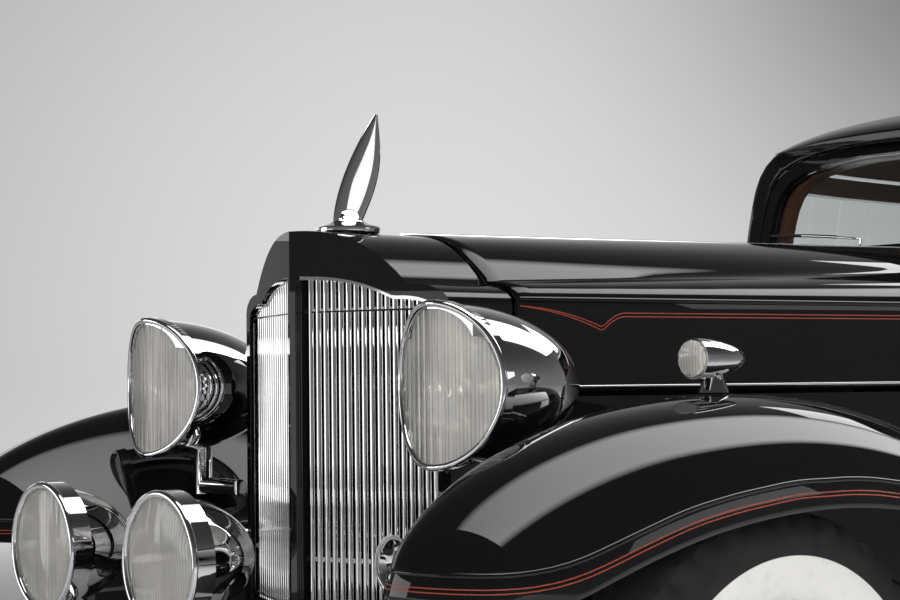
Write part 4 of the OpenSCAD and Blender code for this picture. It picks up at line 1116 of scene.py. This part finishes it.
band = wire.calc("EXPONENT", height * height * (-1 / backdrop["horizonSpread"])) * backdrop["horizon"]
shade = wire.calc("EXPONENT", (aside - 1) / backdrop["cornerSpread"]) * backdrop["shade"]
below = wire.calc("MAXIMUM", height * (-1 / backdrop["groundDeep"]), 0.0)
ground = wire.calc("MINIMUM", below, 1.0) * backdrop["ground"]
background = world.node_tree.nodes["Background"]
plug(world.node_tree, background.inputs["Color"], backdrop["tone"])
plug(world.node_tree, background.inputs["Strength"], glow + band + ground - shade + backdrop["ceiling"])

# The overhead lamp fades at its long edges and is brighter to one side; the fill isn't mirrored in the paint
lamps = [
    {"name": "overhead", "at": (-0.9, 0.45, 4.2), "towards": (-0.9, 0.45, 0.0), "size": (9.0, 2.5), "watts": 255,
     "fades": {"steep": 8.0, "least": 0.7, "tilt": 0.6}},
    {"name": "sideFront", "at": (6.6, -4.2, 1.6), "towards": (2.2, 0.0, 0.9), "size": (3.0, 2.4), "watts": 45},
    {"name": "frontCard", "at": (7.0, -1.4, 0.75), "towards": (2.2, 0.0, 0.75), "size": (2.4, 1.3), "watts": 11},
    {"name": "rearCard", "at": (-4.6, -1.4, 4.2), "towards": (-4.6, -1.4, 0.0), "size": (3.6, 1.3), "watts": 43},
    {"name": "vaneCard", "at": (-1.5, 4.8, 2.1), "towards": (2.1, 0.0, 1.4), "size": (1.7, 0.7), "watts": 4},
    {"name": "sideCard", "at": (1.0, -6.0, 2.2), "towards": (1.5, 0.0, 0.9), "size": (6.0, 1.0), "watts": 12},
    {"name": "cameraFill", "at": (5.0, 6.0, 2.6), "towards": (1.6, 0.5, 0.7), "size": (2.4, 2.4), "watts": 330,
     "soft": True},
]


def fadeEdges(data, fades):
    data.use_nodes = True
    wire = Wire(data.node_tree)
    place = wire.add("ShaderNodeNewGeometry", "Parametric")
    across = wire.add("ShaderNodeSeparateXYZ", "Y", {}, {"Vector": place})
    edges = wire.calc("MINIMUM", across * (1 - across) * fades["steep"], 1.0)
    plug(data.node_tree, data.node_tree.nodes["Emission"].inputs["Strength"],
         edges * (across * fades["tilt"] + fades["least"]))


for lamp in lamps:
    data = bpy.data.lights.new(lamp["name"], "AREA")
    data.shape = "RECTANGLE"
    data.size, data.size_y = lamp["size"]
    data.energy = lamp["watts"]
    if "fades" in lamp:
        fadeEdges(data, lamp["fades"])
    light = bpy.data.objects.new(lamp["name"], data)
    bpy.context.scene.collection.objects.link(light)
    light.location = lamp["at"]
    light.visible_camera = False
    light.visible_glossy = "soft" not in lamp
    aim = Vector(lamp["towards"]) - Vector(lamp["at"])
    light.rotation_euler = aim.to_track_quat("-Z", "Y").to_euler()

shot = {"at": (4.2123, 2.8748, 1.0042), "heading": 50.8, "pitch": 2.4, "roll": 0.6, "focalPixels": 1939.1,
        "imageWidth": 900.0, "sensor": 36.0, "clipEnd": 200.0}
heading = math.radians(shot["heading"])
pitch = math.radians(shot["pitch"])
aim = Vector((-math.cos(heading) * math.cos(pitch), -math.sin(heading) * math.cos(pitch), math.sin(pitch)))
cameraData = bpy.data.cameras.new("camera")
cameraData.sensor_width = shot["sensor"]
cameraData.lens = shot["focalPixels"] * shot["sensor"] / shot["imageWidth"]
cameraData.clip_end = shot["clipEnd"]
camera = bpy.data.objects.new("camera", cameraData)
bpy.context.scene.collection.objects.link(camera)
roll = Matrix.Rotation(math.radians(-shot["roll"]), 4, "Z")
camera.matrix_world = Matrix.Translation(shot["at"]) @ aim.to_track_quat("-Z", "Y").to_matrix().to_4x4() @ roll
bpy.context.scene.camera = camera
bpy.context.scene.view_settings.view_transform = "Standard"
